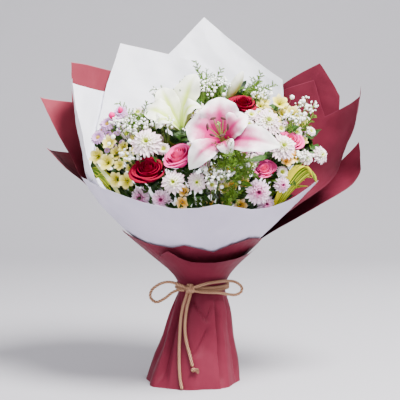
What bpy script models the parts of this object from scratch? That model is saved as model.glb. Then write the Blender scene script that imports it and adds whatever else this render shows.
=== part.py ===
"""Hand-tied flower bouquet in wrapping paper, standing on its cut stems and paper skirt.

Sizes and places are in millimetres and become metres when a mesh is made. +Z is up and -Y is
the front. The origin is on the surface, at the cut end of the middle stem. The papers are
sheets nested round one cup-shaped surface, and the flowers sit on one domed cushion.
"""
import math
import random

import bpy
import numpy as np

MM = 0.001
GAP = 0.3                     # clearance that touching pieces keep
PAPER = 0.9                   # thickness of a sheet, measured along the radius
PETAL = 1.1                   # thickness of a petal or leaf

NECK_X, NECK_Z = 18.0, 160.0  # the tie, a little right of the foot
STEM_RADIUS = 2.4
WAIST_RADIUS = 25.4           # the bound sheaf of stems
WAIST_REACH = 20.6            # its outermost stem's distance from the neck's axis
FOOT_RADIUS = 46.0            # the sheaf where it stands

# The cup of paper: height and radius of its outermost white sheet, left and right.
CUP_LEFT = ((160, 34), (184, 54), (240, 120), (286, 167), (330, 197), (400, 208), (485, 220),
            (600, 228))
CUP_RIGHT = ((160, 34), (184, 50), (240, 104), (286, 152), (330, 196), (400, 208), (485, 214),
             (600, 220))
CUP_BACK = 0.66               # depth of the cup behind, as a part of its half width
WHITE_OUTER = 5               # number of the outermost white sheet, counted from the inside

# The domed cushion that the flowers sit on.
CUSHION = np.array([18.0, -25.0, 385.0])
CUSHION_ACROSS, CUSHION_UP, CUSHION_OUT = 188.0, 139.0, 78.0
SLOPE = np.array([0.0, 220.0, 170.0]) / math.hypot(220.0, 170.0)
OUTWARD = np.array([0.0, -SLOPE[2], SLOPE[1]])

# Twine.
TWINE = 4.6
TWINE_RING = 41.9             # radius of the binding's middle
BINDING_Z = 153.4

FINISHES = {
    "paper_white": ((0.80, 0.80, 0.88), 0.55),
    "paper_burgundy": ((0.22, 0.035, 0.06), 0.50),
    "jute": ((0.50, 0.34, 0.18), 0.90),
    "stem": ((0.14, 0.24, 0.08), 0.60),
    "red_rose": ((0.55, 0.01, 0.03), 0.55),
    "pink_rose": ((0.80, 0.16, 0.30), 0.55),
    "pink_lily": ((0.85, 0.45, 0.58), 0.50),
    "white_lily": ((0.85, 0.88, 0.80), 0.50),
    "white_mum": ((0.86, 0.84, 0.84), 0.60),
    "pink_mum": ((0.82, 0.55, 0.68), 0.60),
    "lilac_aster": ((0.62, 0.52, 0.74), 0.60),
    "cream_alstroemeria": ((0.88, 0.78, 0.50), 0.55),
    "salmon_alstroemeria": ((0.85, 0.50, 0.35), 0.55),
    "gypsophila": ((0.88, 0.90, 0.86), 0.60),
    "fern": ((0.16, 0.36, 0.08), 0.65),
    "dark_leaf": ((0.05, 0.16, 0.06), 0.40),
    "striped_grass": ((0.70, 0.76, 0.28), 0.45),
}


def clear_scene():
    for old in list(bpy.data.objects):
        bpy.data.objects.remove(old, do_unlink=True)


def finish(name):
    """The material of that name, made once."""
    made = bpy.data.materials.get(name)
    if made is None:
        colour, rough = FINISHES[name]
        made = bpy.data.materials.new(name)
        made.use_nodes = True
        shader = made.node_tree.nodes["Principled BSDF"]
        shader.inputs["Base Color"].default_value = (*colour, 1.0)
        shader.inputs["Roughness"].default_value = rough
        shader.inputs["Metallic"].default_value = 0.0
        made.diffuse_color = (*colour, 1.0)
    return made


def smooth(t):
    t = np.clip(t, 0.0, 1.0)
    return t * t * (3.0 - 2.0 * t)


def unit(v):
    v = np.asarray(v, float)
    return v / np.linalg.norm(v)


def outward(verts, tris):
    """The closed solid with its faces turned out."""
    verts, tris = np.asarray(verts, float), np.asarray(tris, int)
    a, b, c = verts[tris[:, 0]], verts[tris[:, 1]], verts[tris[:, 2]]
    volume = np.einsum("ij,ij->", a, np.cross(b, c))
    return (verts, tris if volume > 0 else tris[:, ::-1])


def sheet_solid(top, bottom, closed=False):
    """A closed sheet between two grids of points, split into triangles alike on both faces.

    With closed set, the first and last columns meet, as round a skirt."""
    across, along = top.shape[:2]
    verts = np.concatenate([top.reshape(-1, 3), bottom.reshape(-1, 3)])
    number = np.arange(across * along).reshape(across, along)
    if closed:
        number = np.concatenate([number, number[:1]])
    a, b, c, d = number[:-1, :-1], number[1:, :-1], number[1:, 1:], number[:-1, 1:]
    face = np.concatenate([np.stack([a, b, c], -1).reshape(-1, 3),
                           np.stack([a, c, d], -1).reshape(-1, 3)])
    under = across * along
    if closed:
        edges = [number[:, 0], number[::-1, -1]]
    else:
        edges = [np.concatenate([number[:, 0], number[-1, 1:], number[-2::-1, -1],
                                 number[0, -2::-1]])]
    rims = []
    for edge in edges:
        p, q = edge[:-1], edge[1:]
        rims += [np.stack([q, p, p + under], -1), np.stack([q, p + under, q + under], -1)]
    return outward(verts, np.concatenate([face, face[:, ::-1] + under] + rims))


def tube(points, radii, sides, level_foot=False):
    """A solid rod along points, with a frame carried along so that it doesn't twist."""
    points = np.asarray(points, float)
    radii = np.broadcast_to(np.asarray(radii, float), (len(points),))
    heading = np.gradient(points, axis=0)
    heading /= np.linalg.norm(heading, axis=1)[:, None]
    aside = unit(np.cross(heading[0], [0.13, 0.31, 0.05] if abs(heading[0][2]) > 0.5 else [0, 0, 1]))
    turns = np.arange(sides) * 2 * math.pi / sides
    rings = []
    for place, along, radius in zip(points, heading, radii):
        aside = unit(aside - along * (aside @ along))
        other = np.cross(along, aside)
        rings.append(place + radius * (np.cos(turns)[:, None] * aside
                                       + np.sin(turns)[:, None] * other))
    verts = np.concatenate(rings)
    if level_foot:
        verts[:sides, 2] = points[0][2]
    tris = []
    for k in range(len(points) - 1):
        for j in range(sides):
            a, b = k * sides + j, k * sides + (j + 1) % sides
            tris += [(a, b, b + sides), (a, b + sides, a + sides)]
    last = (len(points) - 1) * sides
    for j in range(1, sides - 1):
        tris += [(0, j + 1, j), (last, last + j, last + j + 1)]
    return outward(verts, tris)


def turned(profile, sides, phase=0.0):
    """A solid turned about local Z from (radius, height) pairs, with flat ends."""
    turns = phase + np.arange(sides) * 2 * math.pi / sides
    verts = np.concatenate([np.stack([r * np.cos(turns), r * np.sin(turns),
                                      np.full(sides, float(z))], -1) for r, z in profile])
    tris = []
    for k in range(len(profile) - 1):
        for j in range(sides):
            a, b = k * sides + j, k * sides + (j + 1) % sides
            tris += [(a, b, b + sides), (a, b + sides, a + sides)]
    last = (len(profile) - 1) * sides
    for j in range(1, sides - 1):
        tris += [(0, j + 1, j), (last, last + j, last + j + 1)]
    return outward(verts, tris)


def blade(path, side, half_width, fold=0.0, thickness=PETAL, across=3):
    """A petal or leaf along path: half_width to each side, its middle raised by fold."""
    path, side = np.asarray(path, float), np.asarray(side, float)
    side = np.broadcast_to(side, path.shape)
    half_width = np.asarray(half_width, float)[:, None]
    heading = np.gradient(path, axis=0)
    face = np.cross(side, heading)
    face /= np.linalg.norm(face, axis=1)[:, None]
    rows = []
    for s in np.linspace(-1.0, 1.0, across):
        rows.append(path + side * half_width * s + face * fold * (1.0 - abs(s)) * half_width)
    middle = np.stack(rows)
    return sheet_solid(middle + face * thickness / 2, middle - face * thickness / 2)


def placed(solid, origin, axis, roll=0.0):
    """The local solid moved so that its Z looks along axis, X to the right and Y up."""
    verts, tris = solid
    z = unit(axis)
    x = unit(np.cross([0.0, 0.0, 1.0], z))
    y = np.cross(z, x)
    x, y = math.cos(roll) * x + math.sin(roll) * y, math.cos(roll) * y - math.sin(roll) * x
    return (np.asarray(origin) + verts @ np.stack([x, y, z]), tris)


def add_object(name, solid, finish_name):
    verts, tris = solid
    mesh = bpy.data.meshes.new(name)
    mesh.from_pydata((verts * MM).tolist(), [], tris.tolist())
    mesh.materials.append(finish(finish_name))
    mesh.shade_smooth()
    mesh.set_sharp_from_angle(angle=math.radians(35.0))
    made = bpy.data.objects.new(name, mesh)
    bpy.context.scene.collection.objects.link(made)
    return made


def fused(name, solids, finish_name):
    """All the solids joined into one body by one Boolean union, which is applied."""
    body = add_object(name, solids[0], finish_name)
    if len(solids) == 1:
        return body
    others = bpy.data.collections.new(name + "_pieces")
    bpy.context.scene.collection.children.link(others)
    for k, solid in enumerate(solids[1:]):
        piece = add_object("%s_piece_%d" % (name, k), solid, finish_name)
        bpy.context.scene.collection.objects.unlink(piece)
        others.objects.link(piece)
    union = body.modifiers.new("join", "BOOLEAN")
    union.operation = "UNION"
    union.operand_type = "COLLECTION"
    union.collection = others
    union.solver = "MANIFOLD"
    seen = body.evaluated_get(bpy.context.evaluated_depsgraph_get())
    joined = bpy.data.meshes.new_from_object(seen)
    body.modifiers.clear()
    body.data = joined
    for piece in list(others.objects):
        bpy.data.objects.remove(piece, do_unlink=True)
    bpy.data.collections.remove(others)
    return body


# Papers.

def cup_profile(table, height):
    z, r = np.array(table, float).T
    return np.interp(height, z, r)


def spacing(height):
    """Distance from one sheet to the next: tight at the tie, looser in the open cup."""
    return 1.5 + 1.5 * smooth((height - 165.0) / 75.0)


def cup(degrees, height):
    """Radius of the outermost white sheet, about the neck's axis."""
    turn = np.radians(degrees)
    c, s = np.cos(turn), np.sin(turn)
    right = smooth((1.0 + c) / 2.0)
    radius = cup_profile(CUP_LEFT, height) * (1 - right) + cup_profile(CUP_RIGHT, height) * right
    behind = 1.0 / np.sqrt(c ** 2 + (np.maximum(s, 0) / CUP_BACK) ** 2 + np.minimum(s, 0) ** 2)
    return radius * (1.0 - (1.0 - behind) * smooth((height - 160.0) / 120.0))


def layer(number, flare=None):
    """The surface of one nested sheet, leaning out by its own flare."""
    def radius(degrees, height):
        r = cup(degrees, height) - (WHITE_OUTER - number) * spacing(height)
        return r + (flare(degrees, height) if flare else 0.0)
    return radius


def flare_left_upper(degrees, height):
    lean = np.interp(height, (300, 331, 369, 457, 520), (0, 6, 20, 50, 62))
    return lean * smooth((degrees - 158.0) / 24.0)


def flare_left_lower(degrees, height):
    lean = np.interp(height, (318, 330, 346, 377, 420), (0, 10, 27, 51, 60))
    return lean * smooth((degrees - 150.0) / 26.0)


def fade(degrees, full, none):
    """1 at the angle full, falling to 0 at none, for angles near the right side."""
    return smooth((none - degrees) / (none - full))


def flare_right_front(degrees, height):
    lean = np.interp(height, (231, 280, 309, 358, 407, 474, 520), (0, 12, 25, 31, 46, 50, 52))
    return lean * fade(degrees, -2.0, 32.0)


def flare_right_back(degrees, height):
    lean = 0.9 * smooth((height - 185.0) / 30.0) + 2.7 * smooth((height - 345.0) / 50.0)
    return lean + flare_right_front(degrees, height)


def flare_right_lower(degrees, height):
    lean = np.interp(height, (200, 232, 268, 312, 354, 400), (0, 5, 29, 58, 60, 62))
    return 1.6 * smooth((height - 185.0) / 50.0) + lean * fade(degrees, -5.0, 30.0)


def flare_back(degrees, height):
    return 3.2 * smooth((height - 185.0) / 50.0)


def collar_inner(degrees, height):
    clear = 4.5 * smooth((192.0 - degrees) / 14.0) * smooth((height - 165.0) / 30.0)
    return np.maximum(36.9, cup(degrees, height) + 1.2 * spacing(height) + clear)


def collar_front(degrees, height):
    stand = smooth(1.0 - np.abs(degrees - 278.0) / 78.0)
    lean = stand * np.interp(height, (165, 200, 240), (0, 20, 30))
    return np.maximum(38.3, cup(degrees, height) + 2.4 * spacing(height) + lean)


PAPER_ROWS = (160, 184, 240, 286, 330, 400)   # heights where every sheet has a row
FACET = 13.0                  # widest facet of a sheet, in degrees


def column_heights(common, top):
    """A column's rows: the common heights below its top, then even steps up to the top."""
    below = [z for z in common if z <= top - 8]
    rest = len(common) - len(below) + 1
    return below + list(np.linspace(below[-1], top, rest + 1)[1:])


def paper(name, surface, neck, rim, finish_name, foot=146.0):
    """One sheet: columns fan out from the neck's angles to the rim's corners.

    rim lists (degrees, height) from one end of the sheet to the other. Columns are added
    between the corners, so that no facet is wide enough to reach its neighbour sheet."""
    corners = [np.array(corner, float) for corner in rim]
    spots = [corners[0]]
    for before, after in zip(corners, corners[1:]):
        steps = math.ceil(max(abs(after[0] - before[0]) / FACET, 1.0))
        spots += [before + (after - before) * (k + 1) / steps for k in range(steps)]
    top_turn, top = np.array(spots).T
    run = np.abs(np.diff(top_turn)) + 0.02 * np.abs(np.diff(top))
    share = np.concatenate([[0.0], np.cumsum(run)]) / run.sum()
    low_turn = neck[0] + (neck[1] - neck[0]) * share
    common = [foot] + [z for z in PAPER_ROWS if z <= top.max() - 12]
    height = np.array([column_heights(common, z) for z in top])
    rise = (height - foot) / (top[:, None] - foot)
    turn = low_turn[:, None] + (top_turn - low_turn)[:, None] * rise
    radius = surface(turn, height)
    add_object(name, ring_sheet(turn, height, radius, PAPER, NECK_X), finish_name)


def ring_sheet(turn, height, radius, thickness, axis_x, closed=False):
    t = np.radians(turn)
    def at(r):
        return np.stack([axis_x + r * np.cos(t), r * np.sin(t), height], -1)
    return sheet_solid(at(radius + thickness / 2), at(radius - thickness / 2), closed)


def make_papers():
    white, burgundy = "paper_white", "paper_burgundy"
    paper("paper_white_front", layer(5), (193, 347),
          ((190, 331), (203, 328), (218, 317), (240, 298), (255, 290), (268, 291), (278, 297),
           (298, 287), (311, 288), (324, 297), (338, 324), (348, 325)), white)
    paper("paper_white_left", layer(2), (236, 128),
          ((205, 345), (189, 485), (152, 465), (138, 452)), white)
    paper("paper_white_back_left", layer(0), (196, 70),
          ((156, 450), (144, 546), (115, 529), (99, 519), (80, 500)), white)
    paper("paper_white_back_centre", layer(1), (140, -8),
          ((128, 470), (114, 529), (88.5, 591.5), (35, 485), (41, 428), (20, 340)), white)
    paper("paper_burgundy_back", layer(5, flare_back), (146, 20),
          ((154, 345), (132, 405), (100, 440), (60, 440), (44, 392), (34, 345)), burgundy)
    paper("paper_burgundy_left_upper", layer(3, flare_left_upper), (188, 120),
          ((184, 457), (168, 448), (166, 513), (147, 500), (132, 430)), burgundy)
    paper("paper_burgundy_left_lower", layer(4, flare_left_lower), (188, 135),
          ((187, 377), (168, 366), (150, 352)), burgundy)
    paper("paper_burgundy_right_back", layer(3, flare_right_back), (13, 70),
          ((12, 458), (21, 512), (40, 472), (52, 420)), burgundy)
    paper("paper_burgundy_right_front", layer(2, flare_right_front), (-9, 62),
          ((-8, 474), (16, 424), (21.6, 484), (38, 465), (48, 420)), burgundy)
    paper("paper_burgundy_right_lower", layer(4, flare_right_lower), (-8, 56),
          ((-7, 311), (3.7, 384), (9.3, 354), (30, 360)), burgundy)
    paper("collar_inner", collar_inner, (150, 352),
          ((158, 219), (190, 246), (218, 229), (243, 224), (255, 229), (268, 223), (281, 217),
           (296, 228), (316, 237), (340, 233), (350, 223)), burgundy, foot=149.0)
    paper("collar_front", collar_front, (194, 346),
          ((194, 186), (236, 219), (247, 209), (258, 203), (282, 202), (306, 206), (330, 214),
           (344, 220)), burgundy, foot=149.0)


SKIRT_ROWS = ((0, 77, 3), (62, 61, 10.5), (118, 48, 16), (149, 35.4, 18), (160, 35.4, 18))
SKIRT_COLUMNS = 26


def make_skirt():
    """The outer sheet below the tie: a flared, lightly pleated skirt that stands on its edge."""
    rows = np.array(SKIRT_ROWS, float)
    turn = np.arange(SKIRT_COLUMNS) * 360.0 / SKIRT_COLUMNS
    t = np.radians(turn)[:, None]
    height, radius, axis = rows[:, 0], rows[:, 1], rows[:, 2]
    depth = 0.055 * smooth((150.0 - height) / 90.0)
    pleat = 0.6 * np.sin(5 * t + 0.6) + 0.4 * np.sin(8 * t + 2.1)
    deeper_front = 1.0 + 0.09 * smooth((150.0 - height) / 150.0) * np.maximum(-np.sin(t), 0)
    r = radius * (1.0 + depth * pleat) * deeper_front
    turn = np.repeat(turn[:, None], len(rows), 1)
    height = np.repeat(height[None], SKIRT_COLUMNS, 0)
    add_object("paper_skirt", ring_sheet(turn, height, r, PAPER, axis[None], closed=True),
               "paper_burgundy")


# Twine.

LOOP_LEFT = ((-9.7, -43.6, 151.6), (-19, -43.4, 152), (-30, -41, 147), (-42, -36, 137), (-55, -32, 131),
             (-64, -30, 138), (-62, -30, 150), (-49, -32, 160), (-35, -38, 164), (-22, -44, 162),
             (-9.2, -46.6, 157.2))
LOOP_RIGHT = ((5.4, -47, 151.4), (18, -49, 149.5), (31, -47, 148.5), (44, -41, 147), (58, -29, 143),
              (71, -22, 141), (80, -18, 145), (81, -16, 153), (71, -18, 161), (58, -28, 164),
              (44, -42, 165), (30, -50, 164), (16, -53, 161), (5.6, -49.4, 157.2))
TAIL_LONG = ((-5.8, -45.6, 146.6), (-8.4, -47, 138), (-12, -47.5, 127), (-15.5, -48.6, 108),
             (-17, -52.9, 86), (-18, -60, 64), (-18, -67.9, 42), (-17, -74.5, 22), (-15, -79.9, 9),
             (-13, -84, 2.6))
TAIL_SHORT = ((-0.4, -45.6, 146.6), (-2.4, -47, 138), (-5.4, -48, 127), (-8.4, -49.9, 108),
              (-9, -55.4, 88), (-6, -62.1, 70), (-1, -70.4, 52), (2.9, -76, 36.3))
KNOT = (-2.0, -45.0, 154.0)
TAIL_KNOT = (4.3, -78.3, 31.5)


def curve_through(points, step):
    """Even steps along the smooth curve (Catmull-Rom) through the points."""
    points = np.array(points, float)
    ends = np.concatenate([[2 * points[0] - points[1]], points, [2 * points[-1] - points[-2]]])
    t = np.linspace(0, 1, 12, endpoint=False)[:, None]
    runs = []
    for a, b, c, d in zip(ends, ends[1:], ends[2:], ends[3:]):
        runs.append(0.5 * (2 * b + (c - a) * t + (2 * a - 5 * b + 4 * c - d) * t ** 2
                           + (3 * b - a - 3 * c + d) * t ** 3))
    fine = np.concatenate(runs + [points[-1:]])
    length = np.concatenate([[0], np.cumsum(np.linalg.norm(np.diff(fine, axis=0), axis=1))])
    even = np.linspace(0, length[-1], max(2, round(length[-1] / step) + 1))
    return np.stack([np.interp(even, length, fine[:, k]) for k in range(3)], -1)


def twine_run(name, points):
    line = bpy.data.curves.new(name, "CURVE")
    line.dimensions = "3D"
    line.bevel_depth = TWINE / 2 * MM
    line.bevel_resolution = 2
    line.use_fill_caps = True
    spline = line.splines.new("POLY")
    route = curve_through(points, 2.6 * TWINE)
    spline.points.add(len(route) - 1)
    for point, place in zip(spline.points, route * MM):
        point.co = (*place, 1.0)
    line.materials.append(finish("jute"))
    made = bpy.data.objects.new(name, line)
    bpy.context.scene.collection.objects.link(made)


def make_twine():
    """The binding's two turns are one hoop with a waist between them; the knot sits on it."""
    half = TWINE / 2
    outline = np.array(((-half, -2 * half), (0, -2.1 * half), (half, -half), (0.6 * half, 0), (half, half),
                        (0, 2.1 * half), (-half, 2 * half), (-half, 0)))
    hoop = ring_tube(np.arange(20) * 18.0, TWINE_RING + outline[:, 0], BINDING_Z + outline[:, 1])
    verts, tris = turned([(4.0, -6.5), (7.0, -2.8), (7.0, 2.8), (4.0, 6.5)], 8)
    knot = (verts + KNOT, tris)
    fused("twine_binding", [hoop, knot], "jute")
    twine_run("twine_loop_left", LOOP_LEFT)
    twine_run("twine_loop_right", LOOP_RIGHT)
    twine_run("twine_tail_long", TAIL_LONG)
    twine_run("twine_tail_short", TAIL_SHORT)
    end = turned([(1.6, -5.0), (4.4, -2.0), (4.4, 2.0), (2.0, 5.0)], 6)
    add_object("twine_tail_knot", placed(end, TAIL_KNOT, (-0.25, 0.4, 0.8)), "jute")


def ring_tube(turn, r, z):
    """A hoop about the neck whose section is the closed outline (r, z)."""
    t = np.radians(turn)[:, None]
    verts = np.stack([NECK_X + r * np.cos(t), r * np.sin(t), np.broadcast_to(z, (len(turn), len(r)))], -1)
    n, m = len(turn), len(r)
    tris = []
    for i in range(n):
        for j in range(m):
            a, b = i * m + j, i * m + (j + 1) % m
            c, d = (i + 1) % n * m + (j + 1) % m, (i + 1) % n * m + j
            tris += [(a, b, c), (a, c, d)]
    return outward(verts.reshape(-1, 3), tris)


# Flowers.

STEM_TOPS = []


def seat(across, up, out):
    """A place on the flower cushion's own axes, in the bouquet's."""
    return CUSHION + np.array([across, 0.0, 0.0]) + SLOPE * up + OUTWARD * out


def facing(across, up, out, front=0.45):
    """The way a bloom there looks: out of the cushion, turned partly to the front."""
    n = (np.array([1.0, 0.0, 0.0]) * across / CUSHION_ACROSS ** 2 + SLOPE * up / CUSHION_UP ** 2
         + OUTWARD * max(out, 8.0) / CUSHION_OUT ** 2)
    return unit(unit(n) * (1 - front) + front * np.array([0.0, -0.94, 0.34]))


def bloom(name, finish_name, solids, place, look, depth, roll=0.0):
    """Fuse a bloom whose local Z is its face and whose foot is depth below, on its stem."""
    fused(name, [placed(s, place, look, roll) for s in solids], finish_name)
    STEM_TOPS.append((place - look * (depth + GAP), look))


def crown(petals, tip, valley, z_tip, z_valley, shift=0, phase=0.0):
    """A ring of petal tips and the valleys between them, shifted by half a petal if asked."""
    turn = phase + np.arange(2 * petals) * math.pi / petals
    at_tip = (np.arange(2 * petals) + shift) % 2 == 0
    r = np.where(at_tip, tip, valley)
    return np.stack([r * np.cos(turn), r * np.sin(turn), np.where(at_tip, z_tip, z_valley)], -1)


def ring_stack(rings, top):
    """One closed body through rings of equal count, flat below and drawn to the point top."""
    count = len(rings[0])
    verts = np.concatenate([np.array(ring, float) for ring in rings] + [[top]])
    last = (len(rings) - 1) * count
    tris = [(0, j + 1, j) for j in range(1, count - 1)]
    for j in range(count):
        tris.append((last + j, last + (j + 1) % count, len(verts) - 1))
        for k in range(len(rings) - 1):
            a, b = k * count + j, k * count + (j + 1) % count
            tris += [(a, b, b + count), (a, b + count, a + count)]
    return outward(verts, tris)


def chrysanthemum(radius, petals, layers, phase=0.0):
    """Layers of pointed petals, each layer shorter and more upright than the one below."""
    depth = 0.55 * radius
    foot = min(2.8, 0.2 * radius)
    rings = [crown(petals, foot, foot, -depth, -depth, 0, phase)]
    for k in range(layers):
        share = 1.0 - 0.27 * k
        rings.append(crown(petals, radius * share, radius * (0.62 - 0.16 * k), radius * (0.02 + 0.17 * k),
                           radius * (-0.10 + 0.12 * k), k % 2, phase))
        if k < layers - 1:
            root = radius * (0.46 - 0.17 * k)
            low = radius * (-0.02 + 0.11 * k)
            rings.append(crown(petals, root, root, low, low, 0, phase))
    return rings, (0.0, 0.0, radius * (0.06 + 0.10 * layers)), depth


def rose(radius, petals, phase=0.0):
    """Rounds of cupped petals, each turned by half a petal, that close over the bud."""
    h = 1.05 * radius
    rings = [crown(petals, 3.0, 3.0, -h, -h, 0, phase),
             crown(petals, 0.40 * radius, 0.40 * radius, -0.80 * h, -0.80 * h, 0, phase),
             crown(petals, 0.86 * radius, 0.80 * radius, -0.42 * h, -0.42 * h, 0, phase),
             crown(petals, 1.00 * radius, 0.82 * radius, -0.06 * h, -0.24 * h, 0, phase)]
    rounds = ((0.62, -0.28, 0.74, 0.58, 0.05, -0.10), (0.42, -0.14, 0.50, 0.38, 0.14, 0.01),
              (0.26, -0.02, 0.26, 0.19, 0.20, 0.10))
    for k, (root, low, tip, valley, z_tip, z_valley) in enumerate(rounds):
        rings.append(crown(petals, root * radius, root * radius, low * h, low * h, 0, phase))
        rings.append(crown(petals, tip * radius, valley * radius, z_tip * h, z_valley * h,
                           (k + 1) % 2, phase))
    return rings, (0.0, 0.0, 0.06 * h), h


def lily(tepals, depth, rise, stamens=6, phase=0.0):
    """Tepals (degrees, length, half width, drop of the tip), outer and inner by turns."""
    solids = [turned([(2.6, -depth), (6.0, -0.5 * depth), (3.5, 0.02 * depth)], 6)]
    t = np.linspace(0.0, 1.0, 5)
    for k, (degrees, length, half, drop) in enumerate(tepals):
        a = math.radians(degrees)
        r = 2.0 + (length - 2.0) * t ** 1.15
        arch = np.sin(math.pi * 0.5 * t / 0.72)
        z = -0.45 * depth + (rise + 0.45 * depth) * arch - drop * np.maximum(t - 0.6, 0) / 0.4
        path = np.stack([r * math.cos(a), r * math.sin(a), z + 2.6 * (k % 2)], -1)
        width = half * np.array([0.10, 0.80, 1.0, 0.84, 0.06])
        solids.append(blade(path, (-math.sin(a), math.cos(a), 0.0), width, fold=-0.22))
    for k in range(stamens):
        a = phase + k * 2 * math.pi / stamens
        tip = np.array([15 * math.cos(a), 15 * math.sin(a), rise + 24.0])
        foot = np.array([1.5 * math.cos(a), 1.5 * math.sin(a), -0.2 * depth])
        along = unit(tip - foot)
        stalk = [ring_about(p, along, r, 4) for p, r in ((foot, 0.8), (tip - along * 4, 0.7), (tip, 2.3))]
        solids.append(ring_stack(stalk, tip + along * 5))
    if stamens:
        solids.append(tube([(0, 0, -0.2 * depth), (1.0, 3.0, rise + 31)], (1.2, 1.8), 3))
    return solids


def to_place(points, origin, axis):
    """Local points moved so that their Z looks along axis, X to the right and Y up."""
    return placed((np.asarray(points, float).reshape(-1, 3), None), origin, axis)[0]


def ring_about(place, axis, radius, count):
    z = unit(axis)
    x = unit(np.cross([0.0, 0.0, 1.0], z))
    t = np.arange(count)[:, None] * 2 * math.pi / count
    return place + radius * (np.cos(t) * x + np.sin(t) * np.cross(z, x))


def spray(name, finish_name, heads, maker, foot_pull=0.22, thin=0.9):
    """Several heads, (across, up, out, size) each, with their stalks drawn out of one fork."""
    places = [seat(*head[:3]) for head in heads]
    middle = np.mean(places, axis=0)
    neck = np.array([NECK_X, 0.0, NECK_Z])
    fork = middle + (neck - middle) * foot_pull
    down = unit(neck - fork)
    foot = fork + down * 12.0
    solids = [tube([foot, fork - down * 2], 2.0, 4)]
    for head, place in zip(heads, places):
        look = facing(*head[:3])
        rings, top, depth = maker(head[3])
        rings = [to_place(ring, place, look) for ring in rings]
        start = ring_about(fork, look, thin, len(rings[0]))
        solids.append(ring_stack([start] + rings, to_place(top, place, look)[0]))
    fused(name, solids, finish_name)
    STEM_TOPS.append((foot + down * GAP, -down))


def alstroemeria(radius):
    depth = 0.95 * radius
    rings = [crown(6, 1.4, 1.4, -depth, -depth),
             crown(6, radius, 0.56 * radius, 0.12 * radius, -0.08 * radius)]
    return rings, (0.0, 0.0, -0.24 * radius), depth


def aster(radius):
    rings = [crown(8, 1.6, 1.6, -0.6 * radius, -0.6 * radius),
             crown(8, radius, 0.62 * radius, 0.02 * radius, -0.06 * radius)]
    return rings, (0.0, 0.0, 0.2 * radius), 0.6 * radius


def floret(radius):
    rings = [crown(2, 0.8, 0.8, -0.7 * radius, -0.7 * radius),
             crown(2, radius, radius, 0.1 * radius, 0.1 * radius)]
    return rings, (0.0, 0.0, 0.8 * radius), 0.7 * radius


def frond(start, heading, length, bend, whorls, reach, seed):
    """A slim curved axis with whorls of three needles drawn out of it, shorter to the tip.

    The axis is three-sided. Below each whorl it runs bare, and at the whorl each of its three
    sides rises to a needle's point."""
    draw = random.Random(seed)
    heading, bend = unit(heading), np.asarray(bend, float)
    levels = []
    for k in range(whorls):
        s = 0.2 + 0.8 * (k + 0.4) / whorls
        levels += [s - 0.9 / length, s + 0.9 / length]
    levels = np.array([0.0] + levels)
    points = start + np.outer(levels * length, heading) + np.outer(levels ** 2, bend)
    verts, tips, tris = [], [], []
    aside = unit(np.cross(heading, [0.3, 0.2, 0.93]))
    for k, (s, place) in enumerate(zip(levels, points)):
        along = unit(heading * length + 2 * bend * s)
        aside = unit(aside - along * (aside @ along))
        other = np.cross(along, aside)
        turn = 0.35 * ((k + 1) // 2)
        width = 1.6 - 0.8 * s
        for j in range(3):
            a = turn + j * 2 * math.pi / 3
            verts.append(place + width * (math.cos(a) * aside + math.sin(a) * other))
            if k % 2:
                b = a + math.pi / 3
                out = math.cos(b) * aside + math.sin(b) * other
                size = reach * (1.15 - 0.70 * s) * draw.uniform(0.8, 1.15)
                tips.append(place + along * 0.9 + (out * 0.86 + along * draw.uniform(0.35, 0.65)) * size)
    first_tip = len(verts)
    for k in range(len(levels) - 1):
        for j in range(3):
            a, b = 3 * k + j, 3 * k + (j + 1) % 3
            if k % 2:
                tip = first_tip + 3 * (k // 2) + j
                tris += [(a, b, tip), (b, b + 3, tip), (b + 3, a + 3, tip), (a + 3, a, tip)]
            else:
                tris += [(a, b, b + 3), (a, b + 3, a + 3)]
    end = 3 * (len(levels) - 1)
    verts = np.array(verts + tips + [points[-1] + unit(heading * length + 2 * bend) * 0.2 * reach])
    tris += [(0, 2, 1)] + [(end + j, end + (j + 1) % 3, len(verts) - 1) for j in range(3)]
    return outward(verts, tris)


def fern(name, foot, fronds):
    """Fronds (heading, length, bend, whorls, reach) that share one foot."""
    foot = np.asarray(foot, float)
    first = unit(fronds[0][0])
    solids = [tube([foot - first * 6, foot + first * 4], (2.0, 1.8), 4)]
    for k, (heading, length, bend, whorls, reach) in enumerate(fronds):
        solids.append(frond(foot, heading, length, bend, whorls, reach, 31 * k + len(name)))
    fused(name, solids, "fern")
    STEM_TOPS.append((foot - first * (6 + GAP), first))


def leaf_path(start, heading, length, bend, steps=5):
    share = np.linspace(0, 1, steps)[:, None]
    return start + unit(heading) * length * share + np.asarray(bend, float) * share ** 2


def leaf_group(name, foot, leaves, finish_name):
    """Broad leaves (heading, length, bend, half width, side) on one short stalk."""
    foot = np.asarray(foot, float)
    first = unit(leaves[0][0])
    solids = [tube([foot - first * 8, foot + first * 5], (2.0, 1.6), 4)]
    for heading, length, bend, half, side in leaves:
        path = leaf_path(foot, heading, length, bend)
        width = half * np.array([0.14, 0.75, 1.0, 0.74, 0.05])
        solids.append(blade(path, unit(side), width, fold=-0.25))
    fused(name, solids, finish_name)
    STEM_TOPS.append((foot - first * (8 + GAP), first))


# Each place is (across, up the slope, out) on the cushion.

ROSES = (
    ("rose_red_front", "red_rose", (-83, -113, 34), 30, 6),
    ("rose_pink_left", "pink_rose", (-34, -99, 54), 27, 6),
    ("rose_red_top", "red_rose", (63, 18, 66), 24, 5),
    ("rose_pink_right", "pink_rose", (136, -46, 42), 22, 5),
    ("rose_pink_low", "pink_rose", (96, -98, 24), 19, 5),
)

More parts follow.
